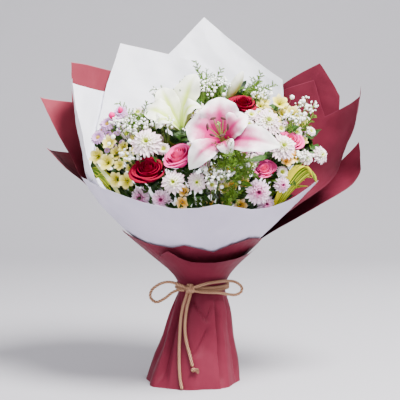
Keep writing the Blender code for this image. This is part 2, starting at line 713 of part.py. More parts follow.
MUMS = (
    ("mum_white_left", "white_mum", (-83, -82, 64), 26, 13, 3),
    ("mum_white_mid", "white_mum", (-43, -131, 30), 19, 11, 2),
    ("mum_pink_low_left", "pink_mum", (-93, -118, -12), 18, 11, 2),
    ("mum_pink_low_mid", "pink_mum", (-61, -133, -2), 17, 11, 2),
    ("mum_pink_low_right", "pink_mum", (83, -130, 10), 21, 12, 2),
    ("mum_pink_rim_right", "pink_mum", (97, -112, -30), 15, 10, 2),
    ("mum_pink_mid_right", "pink_mum", (121, -103, 0), 14, 10, 2),
    ("mum_white_top_right", "white_mum", (100, -32, 64), 23, 13, 3),
    ("mum_white_right", "white_mum", (121, -74, 50), 23, 13, 3),
    ("mum_white_front", "white_mum", (-8, -127, 26), 16, 10, 2),
)

LILY_PINK_TEPALS = ((160, 56, 23, 12), (94, 58, 23, 2), (38, 50, 16, 4), (-10, 92, 18, 12),
                    (-62, 44, 14, 10), (214, 74, 17, 16))
LILY_WHITE_TEPALS = ((28, 42, 14, 4), (79, 74, 19, -14), (130, 60, 15, -12), (176, 54, 18, 2),
                     (228, 36, 13, 6))


def make_flowers():
    for k, (name, colour, where, radius, petals) in enumerate(ROSES):
        rings, top, depth = rose(radius, petals, 0.7 * k)
        bloom(name, colour, [ring_stack(rings, top)], seat(*where), facing(*where), depth)
    for k, (name, colour, where, radius, petals, layers) in enumerate(MUMS):
        rings, top, depth = chrysanthemum(radius, petals, layers, 0.21 * k)
        bloom(name, colour, [ring_stack(rings, top)], seat(*where), facing(*where), depth)

    where = (28, -89, 83)
    look = unit((-0.14, -0.90, 0.36))
    bloom("lily_pink", "pink_lily", lily(LILY_PINK_TEPALS, 46.0, 16.0), seat(*where), look, 46.0)
    where = (-36, -38, 68)
    look = unit((-0.30, -0.60, 0.74))
    bloom("lily_white", "white_lily", lily(LILY_WHITE_TEPALS, 40.0, 26.0, stamens=0),
          seat(*where), look, 40.0)
    bud = turned([(1.6, -26), (5.0, -18), (8.0, 0), (7.0, 16), (1.5, 30)], 6)
    where = (50, 44, 74)
    bloom("lily_bud", "white_lily", [bud], seat(*where), unit((0.45, -0.35, 0.8)), 26.0)

    spray("mum_spray_right", "white_mum", ((184, -32, 0, 16), (160, -62, 18, 12)),
          lambda r: chrysanthemum(r, 9, 2))
    spray("aster_lilac_left", "lilac_aster",
          ((-160, -36, 38, 13), (-146, -20, 52, 13), (-126, -6, 64, 12)), aster)
    spray("alstroemeria_left_upper", "cream_alstroemeria",
          ((-146, -80, 26, 14), (-163, -56, 18, 13), (-142, -54, 44, 12)), alstroemeria)
    spray("alstroemeria_left_lower", "cream_alstroemeria",
          ((-132, -98, 6, 13), (-115, -110, 14, 13)), alstroemeria)
    spray("alstroemeria_front", "salmon_alstroemeria",
          ((-30, -138, -6, 11), (-10, -140, -20, 10), (11, -141, -10, 11)), alstroemeria)
    spray("alstroemeria_low_right", "salmon_alstroemeria", ((58, -134, -14, 11), (37, -139, -8, 9)),
          alstroemeria)
    spray("alstroemeria_right", "cream_alstroemeria", ((142, 4, 56, 13), (122, 24, 62, 14)), alstroemeria)

    rng = random.Random(5)
    gyp = (("gypsophila_left", (-100, -44, 70), 22, 10), ("gypsophila_front", (24, -128, 42), 22, 10),
           ("gypsophila_right", (160, 30, 44), 20, 9), ("gypsophila_top", (6, 34, 84), 18, 8))
    for name, middle, reach, count in gyp:
        heads = []
        for k in range(count):
            a, r = 2.4 * k, reach * math.sqrt((k + 0.5) / count)
            heads.append((middle[0] + r * math.cos(a), middle[1] + r * math.sin(a) * 0.8,
                          middle[2] + rng.uniform(-4, 6), rng.uniform(2.6, 3.4)))
        spray(name, "gypsophila", heads, floret, foot_pull=0.24, thin=0.75)


FERNS = (
    ("fern_top", (22, 24, 446), (((-0.1, -0.05, 1), 62, (-8, -6, 4), 7, 20),
                                 ((0.35, -0.1, 0.95), 56, (8, -4, 2), 6, 18),
                                 ((-0.5, -0.2, 0.85), 46, (-8, -6, 0), 5, 16))),
    ("fern_top_right", (92, 12, 440), (((0.2, -0.3, 1), 52, (10, -8, 4), 6, 18),
                                       ((0.6, -0.1, 0.8), 48, (12, -4, -2), 5, 16))),
    ("fern_left", (-80, -40, 404), (((-0.5, 0.05, 0.85), 48, (-8, 2, 0), 6, 17),
                                    ((0.2, -0.3, 0.95), 42, (4, -4, 4), 5, 15))),
    ("fern_centre", (72, -108, 336), (((0.1, -0.75, 0.6), 44, (2, -8, 8), 7, 18),
                                      ((0.25, -0.85, 0.2), 36, (-2, -4, -2), 5, 14))),
    ("fern_low", (66, -98, 306), (((0.0, -0.9, 0.2), 34, (0, -4, -4), 5, 14),)),
    ("fern_right", (168, -46, 392), (((0.35, -0.5, 0.75), 40, (8, -4, 4), 6, 15),)),
    ("fern_back", (18, 62, 436), (((-0.9, 0.1, 0.7), 78, (-20, 4, -14), 7, 20),
                                  ((0.9, 0.1, 0.7), 78, (20, 4, -14), 7, 20),
                                  ((0.1, 0.25, 1.0), 44, (0, 8, 0), 5, 18))),
)

LEAVES = (
    ("leaves_left", (14, -64, 392), (((-0.50, -0.86, 0.0), 50, (-4, 0, 2), 9, (0.6, -0.35, 0.7)),
                                     ((0.05, 0.20, 0.95), 62, (-12, 2, 2), 9, (0.95, 0.2, 0.2)))),
    ("leaf_right", (98, -92, 368), (((0.6, -0.78, 0.1), 31, (8, 2, -4), 6, (0.3, 0.3, 0.9)),)),
)

GRASS = (
    ("grass_left", (-99, -52, 300), (((-16, -12, 100), 76, (-28, -2, -54), 5, (0.5, -0.5, 0.7)),
                                     ((-2, -26, 90), 72, (-22, -4, -48), 5, (0.5, -0.5, 0.7)),
                                     ((-34, -2, 80), 50, (-12, 6, -26), 4, (0.5, -0.5, 0.7)))),
    ("grass_right", (106, -53, 268), (((50, -30, 160), 160, (36, 16, -88), 6, (0.5, 0.5, -0.7)),
                                      ((30, -36, 150), 158, (40, 12, -92), 6, (0.5, 0.5, -0.7)),
                                      ((53, -15, 107), 120, (24, 12, -58), 6, (0.5, 0.5, -0.7)),
                                      ((16, -44, 120), 118, (30, 4, -64), 5, (0.5, 0.5, -0.7)))),
)


def make_greenery():
    for name, foot, fronds in FERNS:
        fern(name, foot, fronds)
    for name, foot, leaves in LEAVES:
        leaf_group(name, foot, leaves, "dark_leaf")
    for name, foot, blades in GRASS:
        leaf_group(name, foot, blades, "striped_grass")


def shares_of_sheaf():
    """Where each stem passes the waist, in a disc of radius 1: its bloom's place, drawn apart."""
    share = []
    for top, look in STEM_TOPS:
        spread = np.array([190.0, 150.0]) * (0.35 + 0.65 * smooth((top[2] - 240.0) / 160.0))
        share.append((top[:2] - np.array([NECK_X, -20.0])) / spread)
    share = np.array(share)
    for _ in range(80):
        gaps = share[:, None] - share[None]
        far = np.linalg.norm(gaps, axis=2) + np.eye(len(share)) * 9
        push = np.maximum(0.235 - far, 0) / far
        share += 0.45 * np.einsum("ij,ijk->ik", push, gaps)
        share /= np.maximum(1.0, np.linalg.norm(share, axis=1))[:, None]
    return share


def make_stems():
    """All the stems, bound at the waist into one body, each ending just under its bloom."""
    share = shares_of_sheaf()
    twist = math.radians(40.0)
    turn = np.array([[math.cos(twist), -math.sin(twist)], [math.sin(twist), math.cos(twist)]])
    waist_band = turned([(WAIST_RADIUS, 144.0), (WAIST_RADIUS, 170.0)], 16)
    solids = [(waist_band[0] + (NECK_X, 0.0, 0.0), waist_band[1])]
    solids.append(tube([(0, 0, 0), (NECK_X, 0, 157)], STEM_RADIUS, 3, level_foot=True))
    for (top, look), part in zip(STEM_TOPS, share):
        waist = np.array([NECK_X, 0.0]) + part * WAIST_REACH
        foot = turn @ part * FOOT_RADIUS
        points = [(*foot, 0.0), (*waist, 157.0), top - look * 12.0, top]
        solids.append(tube(points, STEM_RADIUS, 3, level_foot=True))
    fused("stems", solids, "stem")


def main():
    clear_scene()
    make_papers()
    make_skirt()
    make_twine()
    make_flowers()
    make_greenery()
    make_stems()


main()
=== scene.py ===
# %% [markdown]
# # A hand-tied bouquet in wrapping paper
#
# The real thing is a sheaf of some forty cut stems, crossed in a spiral and bound with
# twine at a narrow neck. Above the tie the blooms spread into a dome, held by white and burgundy
# sheets. Below it one more burgundy sheet flares into a skirt, on which the bouquet stands.
#
# The solids that carry all this are loaded first and stay as they are. Every visible surface is
# then made again, finer, in the same place. Sizes are in millimetres and become metres when a
# mesh is made. +Z is up and -Y is the front.

# %% Load the frame
import math
import random

import bpy
import numpy as np
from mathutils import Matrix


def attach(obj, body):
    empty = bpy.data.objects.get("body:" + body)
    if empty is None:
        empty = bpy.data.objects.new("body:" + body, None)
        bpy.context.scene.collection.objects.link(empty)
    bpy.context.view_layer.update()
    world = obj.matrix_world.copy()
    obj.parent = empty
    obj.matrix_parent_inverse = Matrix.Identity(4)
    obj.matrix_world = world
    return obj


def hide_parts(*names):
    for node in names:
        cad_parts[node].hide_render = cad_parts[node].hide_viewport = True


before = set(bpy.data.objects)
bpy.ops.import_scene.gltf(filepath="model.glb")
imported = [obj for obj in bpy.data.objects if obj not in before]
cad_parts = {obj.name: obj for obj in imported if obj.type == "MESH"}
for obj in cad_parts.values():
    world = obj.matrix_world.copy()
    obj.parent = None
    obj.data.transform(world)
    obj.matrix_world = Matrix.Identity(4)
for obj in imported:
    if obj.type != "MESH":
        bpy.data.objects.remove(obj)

MM = 0.001
NECK_X, NECK_Z = 18.0, 160.0     # the axis and the height of the tie
GOLDEN = 2.39996                 # the golden angle, at which florets and twigs follow each other
ASIDE = (0.3, 0.8, 0.2)          # a direction few stalks run in: their rings start from it
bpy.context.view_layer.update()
print(len(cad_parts), "solids in the frame")

# %% [markdown]
# ## Surfaces on grids
#
# A petal, a leaf or a sheet of paper is a surface with two directions: u runs from its root to
# its tip and v from one edge to the other. So each shape below is a formula in u and v, worked
# out for a whole grid at once, and for all the petals of a bloom at once. A solid is kept as
# four arrays: its points, its triangles, the (v, u) of each point for the materials, and a tone,
# which is a number from 0 to 1 that tells one petal's shade from another's.

# %% Soft steps and directions
def smooth(t):
    """0 below 0, 1 above 1, and the curve 3t^2 - 2t^3 between."""
    t = np.clip(t, 0.0, 1.0)
    return t * t * (3.0 - 2.0 * t)


def unit(v):
    """Each vector divided by its length."""
    v = np.asarray(v, float)
    return v / (np.linalg.norm(v, axis=-1, keepdims=True) + 1e-12)


print("a soft step:", smooth(np.linspace(0, 1, 5)).round(2).tolist())

# %% [markdown]
# A single sheet has no thickness at its rim to catch the light, so each petal is closed: a
# face, and a back that meets it along the edge.

# %% Petals from grids
def grid_triangles(rows, columns):
    """Two triangles for each cell; their diagonals run towards the middle of the grid."""
    i, j = np.meshgrid(np.arange(rows - 1), np.arange(columns - 1), indexing="ij")
    a = (i * columns + j).ravel()
    b, c, d = a + 1, a + columns + 1, a + columns
    turned = ((i < rows / 2 - 0.5) ^ (j < columns / 2 - 0.5)).ravel()[:, None]
    first = np.where(turned, np.stack([a, b, d], 1), np.stack([a, b, c], 1))
    second = np.where(turned, np.stack([b, c, d], 1), np.stack([a, c, d], 1))
    return np.concatenate([first, second])


def copies(triangles, count, stride):
    """The same triangles for each of count copies whose points follow each other."""
    return (triangles[None] + (np.arange(count) * stride)[:, None, None]).reshape(-1, 3)


def spread(tone, count, points):
    """One tone for each copy, or one for all, repeated for every point."""
    return np.repeat(np.broadcast_to(np.asarray(tone, float), (count,)), points)


def petals(points, thickness, tone=0.5):
    """Closed petals from points of shape (count, rows, columns, 3).

    The face is the grid itself. The back lies thickness behind it and closes on it along the
    edge, so that a petal is thick in the middle and sharp at its rim."""
    points = np.asarray(points, float)
    count, rows, columns, _ = points.shape
    normal = unit(np.cross(np.gradient(points, axis=2), np.gradient(points, axis=1)))
    back = (points - thickness * normal)[:, 1:-1, 1:-1]
    face = np.arange(rows * columns).reshape(rows, columns)
    behind = face.copy()
    behind[1:-1, 1:-1] = rows * columns + np.arange((rows - 2) * (columns - 2)).reshape(rows - 2, -1)
    triangles = grid_triangles(rows, columns)
    triangles = np.concatenate([triangles, behind.ravel()[triangles][:, ::-1]])
    v, u = np.meshgrid(np.linspace(0, 1, columns), np.linspace(0, 1, rows))
    uv = np.stack([v, u], -1)
    one = np.concatenate([uv.reshape(-1, 2), uv[1:-1, 1:-1].reshape(-1, 2)])
    verts = np.concatenate([points.reshape(count, -1, 3), back.reshape(count, -1, 3)], 1)
    stride = verts.shape[1]
    return (verts.reshape(-1, 3), copies(triangles, count, stride), np.tile(one, (count, 1)),
            spread(tone, count, stride))


print("a grid of 7 x 5 points has", len(grid_triangles(7, 5)), "triangles a side")

# %% [markdown]
# Twine, stems, stalks and tiny buds are all rods: a ring of points carried along a path, with a
# radius for each step. Blender's curves could do it too, but one array makes a thousand at once.

# %% Rods along paths
def rods(paths, radii, sides=6, across=(0.0, 1.0, 0.0), tone=0.5, lobes=None):
    """Closed round rods along paths of shape (count, steps, 3).

    Each ring lies square to the path, turned so that its first side looks along across. lobes
    may be a grid of factors (steps, sides) on the radius, as for twisted strands."""
    paths = np.asarray(paths, float)
    if paths.ndim == 2:
        paths = paths[None]
    count, steps, _ = paths.shape
    radii = np.broadcast_to(np.asarray(radii, float), (count, steps))
    along = unit(np.gradient(paths, axis=1))
    other = unit(np.cross(along, np.asarray(across, float)))
    side = np.cross(other, along)
    turn = np.arange(sides) * 2 * math.pi / sides
    ring = np.cos(turn)[:, None] * side[:, :, None] + np.sin(turn)[:, None] * other[:, :, None]
    size = radii[:, :, None] * (1.0 if lobes is None else lobes[None])
    size = np.broadcast_to(size, (count, steps, sides))
    verts = paths[:, :, None] + ring * size[..., None]
    verts = np.concatenate([verts.reshape(count, -1, 3), paths[:, :1], paths[:, -1:]], 1)
    k, j = np.meshgrid(np.arange(steps - 1), np.arange(sides), indexing="ij")
    a, b = (k * sides + j).ravel(), (k * sides + (j + 1) % sides).ravel()
    wall = np.concatenate([np.stack([a, b, b + sides], 1), np.stack([a, b + sides, a + sides], 1)])
    j = np.arange(sides)
    foot, tip = steps * sides, steps * sides + 1
    last = (steps - 1) * sides
    ends = np.concatenate([np.stack([np.full(sides, foot), (j + 1) % sides, j], 1),
                           np.stack([np.full(sides, tip), last + j, last + (j + 1) % sides], 1)])
    v, u = np.meshgrid(np.arange(sides) / sides, np.linspace(0, 1, steps))
    one = np.concatenate([np.stack([v, u], -1).reshape(-1, 2), [[0.5, 0.0], [0.5, 1.0]]])
    return (verts.reshape(-1, 3), copies(np.concatenate([wall, ends]), count, verts.shape[1]),
            np.tile(one, (count, 1)), spread(tone, count, verts.shape[1]))


print("a rod of 4 steps and 6 sides has", len(rods([(0, 0, z) for z in range(4)], 1.0)[1]), "triangles")

# %% [markdown]
# A piece is one object. Its solids are put in place and joined, it rides on the bouquet's one
# body, the solids of the frame that it stands for are hidden, and it takes one material.

# %% Pieces
def placed(solid, origin, axis, roll=0.0):
    """The local solid moved so that its Z looks along axis, X to the right and Y up."""
    z = unit(axis)
    x = unit(np.cross([0.0, 0.0, 1.0], z))
    y = np.cross(z, x)
    x, y = math.cos(roll) * x + math.sin(roll) * y, math.cos(roll) * y - math.sin(roll) * x
    return (np.asarray(origin, float) + solid[0] @ np.stack([x, y, z]), *solid[1:])


def joined(solids):
    """Several solids as one, their triangles numbered on."""
    starts = np.cumsum([0] + [len(s[0]) for s in solids[:-1]])
    return (np.concatenate([s[0] for s in solids]),
            np.concatenate([s[1] + start for s, start in zip(solids, starts)]),
            np.concatenate([s[2] for s in solids]), np.concatenate([s[3] for s in solids]))


TRIANGLES = {}                   # of each piece, by its name


def add_piece(name, solids, material, nodes=(), crease=55.0):
    """One object from its solids, on the bouquet's one body, in place of the nodes named."""
    verts, triangles, uv, tone = joined(solids)
    verts[:, 2] = np.maximum(verts[:, 2], 0.0)
    mesh = bpy.data.meshes.new(name)
    mesh.vertices.add(len(verts))
    mesh.vertices.foreach_set("co", (verts * MM).ravel())
    mesh.loops.add(3 * len(triangles))
    mesh.loops.foreach_set("vertex_index", triangles.ravel())
    mesh.polygons.add(len(triangles))
    mesh.polygons.foreach_set("loop_start", np.arange(0, 3 * len(triangles), 3))
    mesh.update(calc_edges=True)
    mesh.uv_layers.new(name="surface").data.foreach_set("uv", uv[triangles.ravel()].ravel())
    mesh.attributes.new("tone", "FLOAT", "POINT").data.foreach_set("value", tone)
    mesh.shade_smooth()
    mesh.set_sharp_from_angle(angle=math.radians(crease))
    mesh.materials.append(material)
    piece = bpy.data.objects.new(name, mesh)
    bpy.context.scene.collection.objects.link(piece)
    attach(piece, "root")
    if nodes:
        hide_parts(*nodes)
    TRIANGLES[name] = len(triangles)
    return piece


# %% [markdown]
# ## Shader maths as Python
#
# A finish is a small net of nodes. Wiring each Math node by hand hides the formula, so one class
# wraps a socket and lets Python's own operators add the nodes, and one method adds any other.

# %% Sockets that can be added and multiplied
class Field:
    """A socket of a finish; an expression on it adds Math nodes."""

    def __init__(self, finish, socket):
        self.finish, self.socket = finish, socket

    def math(self, operation, other=0.0, swapped=False):
        """A Math node on this value and another, or on the other and this one."""
        pair = (other, self) if swapped else (self, other)
        return self.finish.node("Math", {0: pair[0], 1: pair[1]}, operation=operation)

    # Python's own signs, each as one Math node.
    def __add__(self, other):
        return self.math("ADD", other)

    def __sub__(self, other):
        return self.math("SUBTRACT", other)

    def __mul__(self, other):
        return self.math("MULTIPLY", other)

    def __rsub__(self, other):
        return self.math("SUBTRACT", other, swapped=True)

    def __abs__(self):
        return self.math("ABSOLUTE")

    def between(self, low, high):
        """0 where the value is at low, 1 at high, with a soft step between."""
        return self.finish.node("MapRange", {0: self, 1: low, 2: high},
                                interpolation_type="SMOOTHSTEP")


print("a field takes +, -, *, abs and a soft step between two values")

# %% [markdown]
# A finish starts as Blender's Principled shader. Its methods add what most finishes need: noise,
# waves, ramps, mixes and relief.

# %% Finishes
class Finish:
    """A material whose Principled shader is fed by expressions; the slot it is given is not used."""

    def __init__(self, name, slot, roughness=0.5, **fixed):
        self.material = bpy.data.materials.new(name)
        self.material.use_nodes = True
        self.tree = self.material.node_tree
        self.shader = self.tree.nodes["Principled BSDF"]
        self.shader.inputs["Roughness"].default_value = roughness
        for socket, value in fixed.items():
            self.shader.inputs[socket.replace("_", " ")].default_value = value
        self.place = self.node("TexCoord", output="Object")

    def node(self, kind, inputs=None, output=0, stops=None, **settings):
        """Any node: its settings first, then a ramp's stops, then its sockets' values or links."""
        made = self.tree.nodes.new("ShaderNode" + kind)
        for key, value in settings.items():
            setattr(made, key, value)
        for k, (at, colour) in enumerate(stops or ()):
            ramp = made.color_ramp.elements
            stop = ramp[k] if k < 2 else ramp.new(at)
            stop.position, stop.color = at, (*colour, 1.0)
        for key, value in (inputs or {}).items():
            if isinstance(value, Field):
                self.tree.links.new(value.socket, made.inputs[key])
            else:
                made.inputs[key].default_value = value
        return Field(self, made.outputs[output])

    def feed(self, **inputs):
        """Links each value to the shader's socket of that name."""
        for key, field in inputs.items():
            self.tree.links.new(field.socket, self.shader.inputs[key.replace("_", " ")])
        return self

    def noise(self, scale, detail=3.0, roughness=0.55, where=None):
        """Cloudy noise around 0.5; scale is its waves in a metre."""
        return self.node("TexNoise", {"Vector": where or self.place, "Scale": scale,
                                      "Detail": detail, "Roughness": roughness})

    def waves(self, value):
        """A triangle wave from 0 to 1 and back while the value grows by 2."""
        return self.node("Math", {0: value, 1: 1.0}, operation="PINGPONG")

    def ramp(self, value, *stops):
        """The colours of the stops (position, colour), blended along the value."""
        return self.node("ValToRGB", {0: value}, stops=stops)

    def mix(self, share, low, high):
        """The colour low where share is 0 and high where it is 1."""
        pair = [c if isinstance(c, Field) else (*c, 1.0) for c in (low, high)]
        return self.node("Mix", {0: share, 6: pair[0], 7: pair[1]}, output=2, data_type="RGBA")

    def relief(self, height, depth, strength=1.0):
        """Bumps as deep as depth, in metres, where height goes from 0 to 1."""
        return self.feed(Normal=self.node("Bump", {"Height": height, "Distance": depth,
                                                   "Strength": strength}))

    def surface(self):
        """Across and along each petal, leaf or sheet, 0 to 1 each, and the petal's tone."""
        both = self.node("UVMap", uv_map="surface")
        parts = self.node("SeparateXYZ", {0: both})
        along = Field(self, parts.socket.node.outputs[1])
        tone = self.node("Attribute", output="Fac", attribute_name="tone")
        return parts, along, tone


print("a finish can", ", ".join(key for key in vars(Finish) if key[0] != "_"))

# %% [markdown]
# ## Camera and twine
#
# The camera stands two metres off, almost level, as in the photo. It comes first together with
# the free cords, since the twine's loops and tails must fit what it sees.
#
# Jute twine is three yarns laid around each other. Its section is a circle with three soft lobes
# that turn as they go along, which is cheaper than three separate yarns and closes at any bend.

# %% Camera
camera = bpy.data.cameras.new("camera")
camera.lens, camera.sensor_width = 112.5, 36.0
viewer = bpy.data.objects.new("camera", camera)
viewer.location = (0.0146, -2.0, 0.44)
viewer.rotation_euler = (math.pi / 2 - math.radians(4.258), 0.0, 0.0)
bpy.context.scene.collection.objects.link(viewer)
bpy.context.scene.camera = viewer
print("a lens of", camera.lens, "mm")

# %% [markdown]
# Jute is a dull, brown fibre. Its colour changes in short streaks along the yarns, and the
# grooves between the three yarns are painted nearly dark, as shade. The first coordinate of the
# twine's surface turns with the yarns, so the grooves lie at fixed values of it.

# %% Jute
jute = Finish("jute twine", "jute", roughness=0.88)
strand, run, _ = jute.surface()
fibre = jute.noise(1.0, 4.0, 0.5, jute.node("CombineXYZ", {0: strand * 40.0, 1: run * 30.0}))
groove = abs(jute.waves(strand * 3.0) - 0.5) * 2.0
cloud = jute.noise(90.0)
colour = jute.mix(fibre.between(0.3, 0.7), (0.26, 0.115, 0.055), (0.68, 0.38, 0.22))
colour = jute.mix(cloud.between(0.35, 0.75) * 0.5, colour, (0.55, 0.31, 0.19))
# painted shade: the grooves between the yarns are darkened in the colour
jute.feed(Base_Color=jute.mix((1.0 - groove).between(0.3, 0.8) * 0.9, colour, (0.07, 0.032, 0.014)))
jute.relief(fibre + jute.noise(1400.0) * 0.6, 0.0006)
print("jute,", len(jute.tree.nodes), "nodes")

# %% [markdown]
# The routes of the two loops and the two tails are the solids' own, chosen on the photo.
# Each is a list of points, joined by a soft curve.

# %% Where the twine runs
TWINE, PITCH = 4.6, 15.0         # across the twine, and along it for one turn of its yarns
LOOP_LEFT = ((-9.7, -43.6, 151.6), (-19, -43.4, 152), (-30, -41, 147), (-42, -36, 137),
             (-55, -32, 131), (-64, -30, 138), (-62, -30, 150), (-49, -32, 160), (-35, -38, 164),
             (-22, -44, 162), (-9.2, -46.6, 157.2))
LOOP_RIGHT = ((5.4, -47, 151.4), (18, -49, 149.5), (31, -47, 148.5), (44, -41, 147),
              (58, -29, 143), (71, -22, 141), (80, -18, 145), (81, -16, 153), (71, -18, 161),
              (58, -28, 164), (44, -42, 165), (30, -50, 164), (16, -53, 161), (5.6, -49.4, 157.2))
TAIL_LONG = ((-5.8, -45.6, 146.6), (-8.4, -47, 138), (-12, -47.5, 127), (-15.5, -48.6, 108),
             (-17, -52.9, 86), (-18, -60, 64), (-18, -67.9, 42), (-17, -74.5, 22),
             (-15, -79.9, 9), (-13, -84, 2.6))
TAIL_SHORT = ((-0.4, -45.6, 146.6), (-2.4, -47, 138), (-5.4, -48, 127), (-8.4, -49.9, 108),
              (-9, -55.4, 88), (-6, -62.1, 70), (-1, -70.4, 52), (2.9, -76, 36.3))
KNOT = np.array((-2.0, -45.0, 154.0))
TAIL_KNOT, TAIL_KNOT_AXIS = np.array((4.3, -78.3, 31.5)), unit((-0.25, 0.4, 0.8))
FIBRE = (0.3, 0.4, 0.86)         # where the rings of loose fibres start


def curve(points, step=1.0):
    """A Catmull-Rom curve through the points, taken again at even steps along its length."""
    p = np.array(points, float)
    p = np.vstack([2 * p[0] - p[1], p, 2 * p[-1] - p[-2]])
    t = np.linspace(0, 1, 24, endpoint=False)[None, :, None]
    a, b, c, d = (p[k:len(p) - 3 + k, None] for k in range(4))
    dense = 0.5 * (2 * b + (c - a) * t + (2 * a - 5 * b + 4 * c - d) * t ** 2
                   + (3 * b - a - 3 * c + d) * t ** 3)
    dense = np.vstack([dense.reshape(-1, 3), p[-2]])
    at = np.r_[0.0, np.cumsum(np.linalg.norm(np.diff(dense, axis=0), axis=1))]
    even = np.linspace(0, at[-1], max(3, round(at[-1] / step) + 1))
    return np.stack([np.interp(even, at, dense[:, k]) for k in range(3)], 1), at[-1]


print("the long tail runs", round(curve(TAIL_LONG)[1], 1), "mm")

# %% [markdown]
# The twine is one rod whose radius follows its three yarns. Fine fibres stand off it, and the
# small knot is the same twine laid along a closed curve.

# %% Twine, loose fibres and a knot
def twine(path, sides=18, radius=TWINE / 2, across=(0.13, 0.2, 0.97)):
    """Radius r(a, s) = R (0.92 + 0.16 cos 3(a - 2 pi s / pitch)) around the path, less at its ends."""
    path = np.asarray(path, float)
    s = np.r_[0.0, np.cumsum(np.linalg.norm(np.diff(path, axis=0), axis=1))]
    turn = np.arange(sides) * 2 * math.pi / sides
    lobes = 0.92 + 0.16 * np.cos(3 * (turn[None] - 2 * math.pi * s[:, None] / PITCH))
    taper = np.minimum(1.0, 0.72 + np.minimum(s, s[-1] - s) / 3.0)
    verts, triangles, _, tone = rods(path, radius * taper, sides, across, 0.5, lobes)
    twist = np.r_[(turn[None] / (2 * math.pi) - s[:, None] / PITCH).ravel(), 0.0, 0.0]
    uv = np.stack([twist, np.r_[np.repeat(s / 30.0, sides), 0.0, s[-1] / 30.0]], 1)
    return verts, triangles, uv, tone


def fluff(path, count, reach, seed):
    """Loose fibres q(t) = foot + out (1.6 + L sqrt(t) / 2) + along L t, fine rods that bend over."""
    rng = np.random.default_rng(seed)
    at = rng.uniform(0.0, 0.97, count) * (len(path) - 1)
    foot = path[at.astype(int)]
    along = unit(path[np.minimum(at.astype(int) + 1, len(path) - 1)] - foot)
    out = unit(np.cross(along, rng.normal(size=(count, 3))))
    t = np.linspace(0, 1, 4)[None, :, None]
    length = rng.uniform(0.5, 1.0, (count, 1, 1)) * reach
    lines = foot[:, None] + out[:, None] * (1.6 + 0.5 * length * np.sqrt(t)) \
        + along[:, None] * length * t * rng.choice([-1.0, 1.0], (count, 1, 1))
    return rods(lines, np.linspace(0.11, 0.05, 4), 3, FIBRE, 0.7)


def overhand(centre, axis, size):
    """A small knot: the closed trefoil (sin t + 2 sin 2t, cos t - 2 cos 2t, -1.3 sin 3t)."""
    t = np.linspace(0, 2 * math.pi, 73)[:-1]
    trefoil = np.stack([np.sin(t) + 2 * np.sin(2 * t), np.cos(t) - 2 * np.cos(2 * t),
                        -1.3 * np.sin(3 * t)], 1) * size
    return placed(twine(trefoil[np.r_[0:72, 0, 1]], 12, 1.75), centre, axis)


print("yarns turn once in", PITCH, "mm")

# %% [markdown]
# The bow's two loops and two tails hang free, so each is a piece of its own.

# %% The four cords
cords = {}
for name, route, seed in (("twine_loop_left", LOOP_LEFT, 3), ("twine_loop_right", LOOP_RIGHT, 4),
                          ("twine_tail_long", TAIL_LONG, 5), ("twine_tail_short", TAIL_SHORT, 6)):
    path, length = curve(route)
    cords[name] = path
    piece = add_piece(name + "_visual", [twine(path, across=(0.1, 1.0, 0.2)), fluff(path, 26, 5.0, seed)],
                      jute.material, [name])
    cords[name + "_piece"], cords[name + "_length"] = piece, length
    print(name, round(length, 1), "mm")
# %% [markdown]
# ## Binding and knots
#
# The tie is the same twine taken twice round the neck and knotted over itself. Each turn is a
# ring of its own here, and the knot is built of three short wraps, as a bow's middle is.

# %% Binding
BOUND = 41.9                     # radius of the two turns round the neck


def ring_path(radius, height, slope=0.0, turns=97):
    """A circle about the neck, r(t) = radius, z(t) = height + slope sin t."""
    t = np.linspace(0, 2 * math.pi, turns)
    return np.stack([NECK_X + radius * np.cos(t), radius * np.sin(t), height + slope * np.sin(t)], 1)


def wrap(centre, across, up, out, tilt):
    """Half a turn of twine over the knot: an arch a cos t, b sin t, leaning by tilt."""
    t = np.linspace(-0.35, math.pi + 0.35, 22)
    arch = np.stack([across * np.cos(t) + tilt * np.sin(t), -out * np.sin(t) + 2.0, up * np.cos(t)], 1)
    return centre + arch


binding = [twine(ring_path(BOUND, 155.5, 0.5)), twine(ring_path(BOUND, 151.0, -0.5))]
binding += [twine(wrap(KNOT, 1.2 + 2.0 * k, 5.6, 5.4, 3.0 - 3.0 * k), 14) for k in (-1.2, 0.0, 1.2)]
binding += [twine(curve(((-9, -42.6, 157), (-3, -48.0, 155), (3, -48.6, 152), (6.5, -45, 150)))[0], 14),
            fluff(ring_path(BOUND, 153.5), 40, 6.0, 8)]
add_piece("twine_binding_visual", binding, jute.material, ["twine_binding"])
print(len(binding), "lengths of twine in the binding")

# %% [markdown]
# The short tail ends in a small knot with frayed yarns.

# %% The frayed knot
fray = np.random.default_rng(9).normal(size=(34, 3)) * 0.28 + unit((0.9, -0.35, 0.1))
t = np.linspace(0, 1, 5)[None, :, None]
fray = TAIL_KNOT + (2.0 + 7.5 * t) * unit(fray)[:, None] - np.array([0, 0, 2.5]) * t ** 2
tail_knot = [overhand(TAIL_KNOT, TAIL_KNOT_AXIS, 1.05),
             rods(fray, (0.32, 0.3, 0.26, 0.2, 0.1), 4, FIBRE, 0.7)]
add_piece("twine_tail_knot_visual", tail_knot, jute.material, ["twine_tail_knot"])

for name, far, mates in (("twine_loop_left", "object", ()), ("twine_loop_right", "object", ()),
                         ("twine_tail_long", "bare", ()),
                         ("twine_tail_short", "knot", ("twine_tail_knot_visual",))):
    path = cords[name] * MM
    cords[name + "_piece"]
    cords[name + "_length"] * MM
    "hanging" if "tail" in name else "loose"
print("twine", sum(TRIANGLES.values()), "triangles")

# %% [markdown]
# ## Wrapping paper
#
# Twelve sheets are nested round one cup. A sheet is a fan of straight columns, from its place at
# the tie to its rim, laid on the cup at its own distance. All share one field of folds, so that
# they crease together and never cut through each other, as real sheets gathered in one hand.

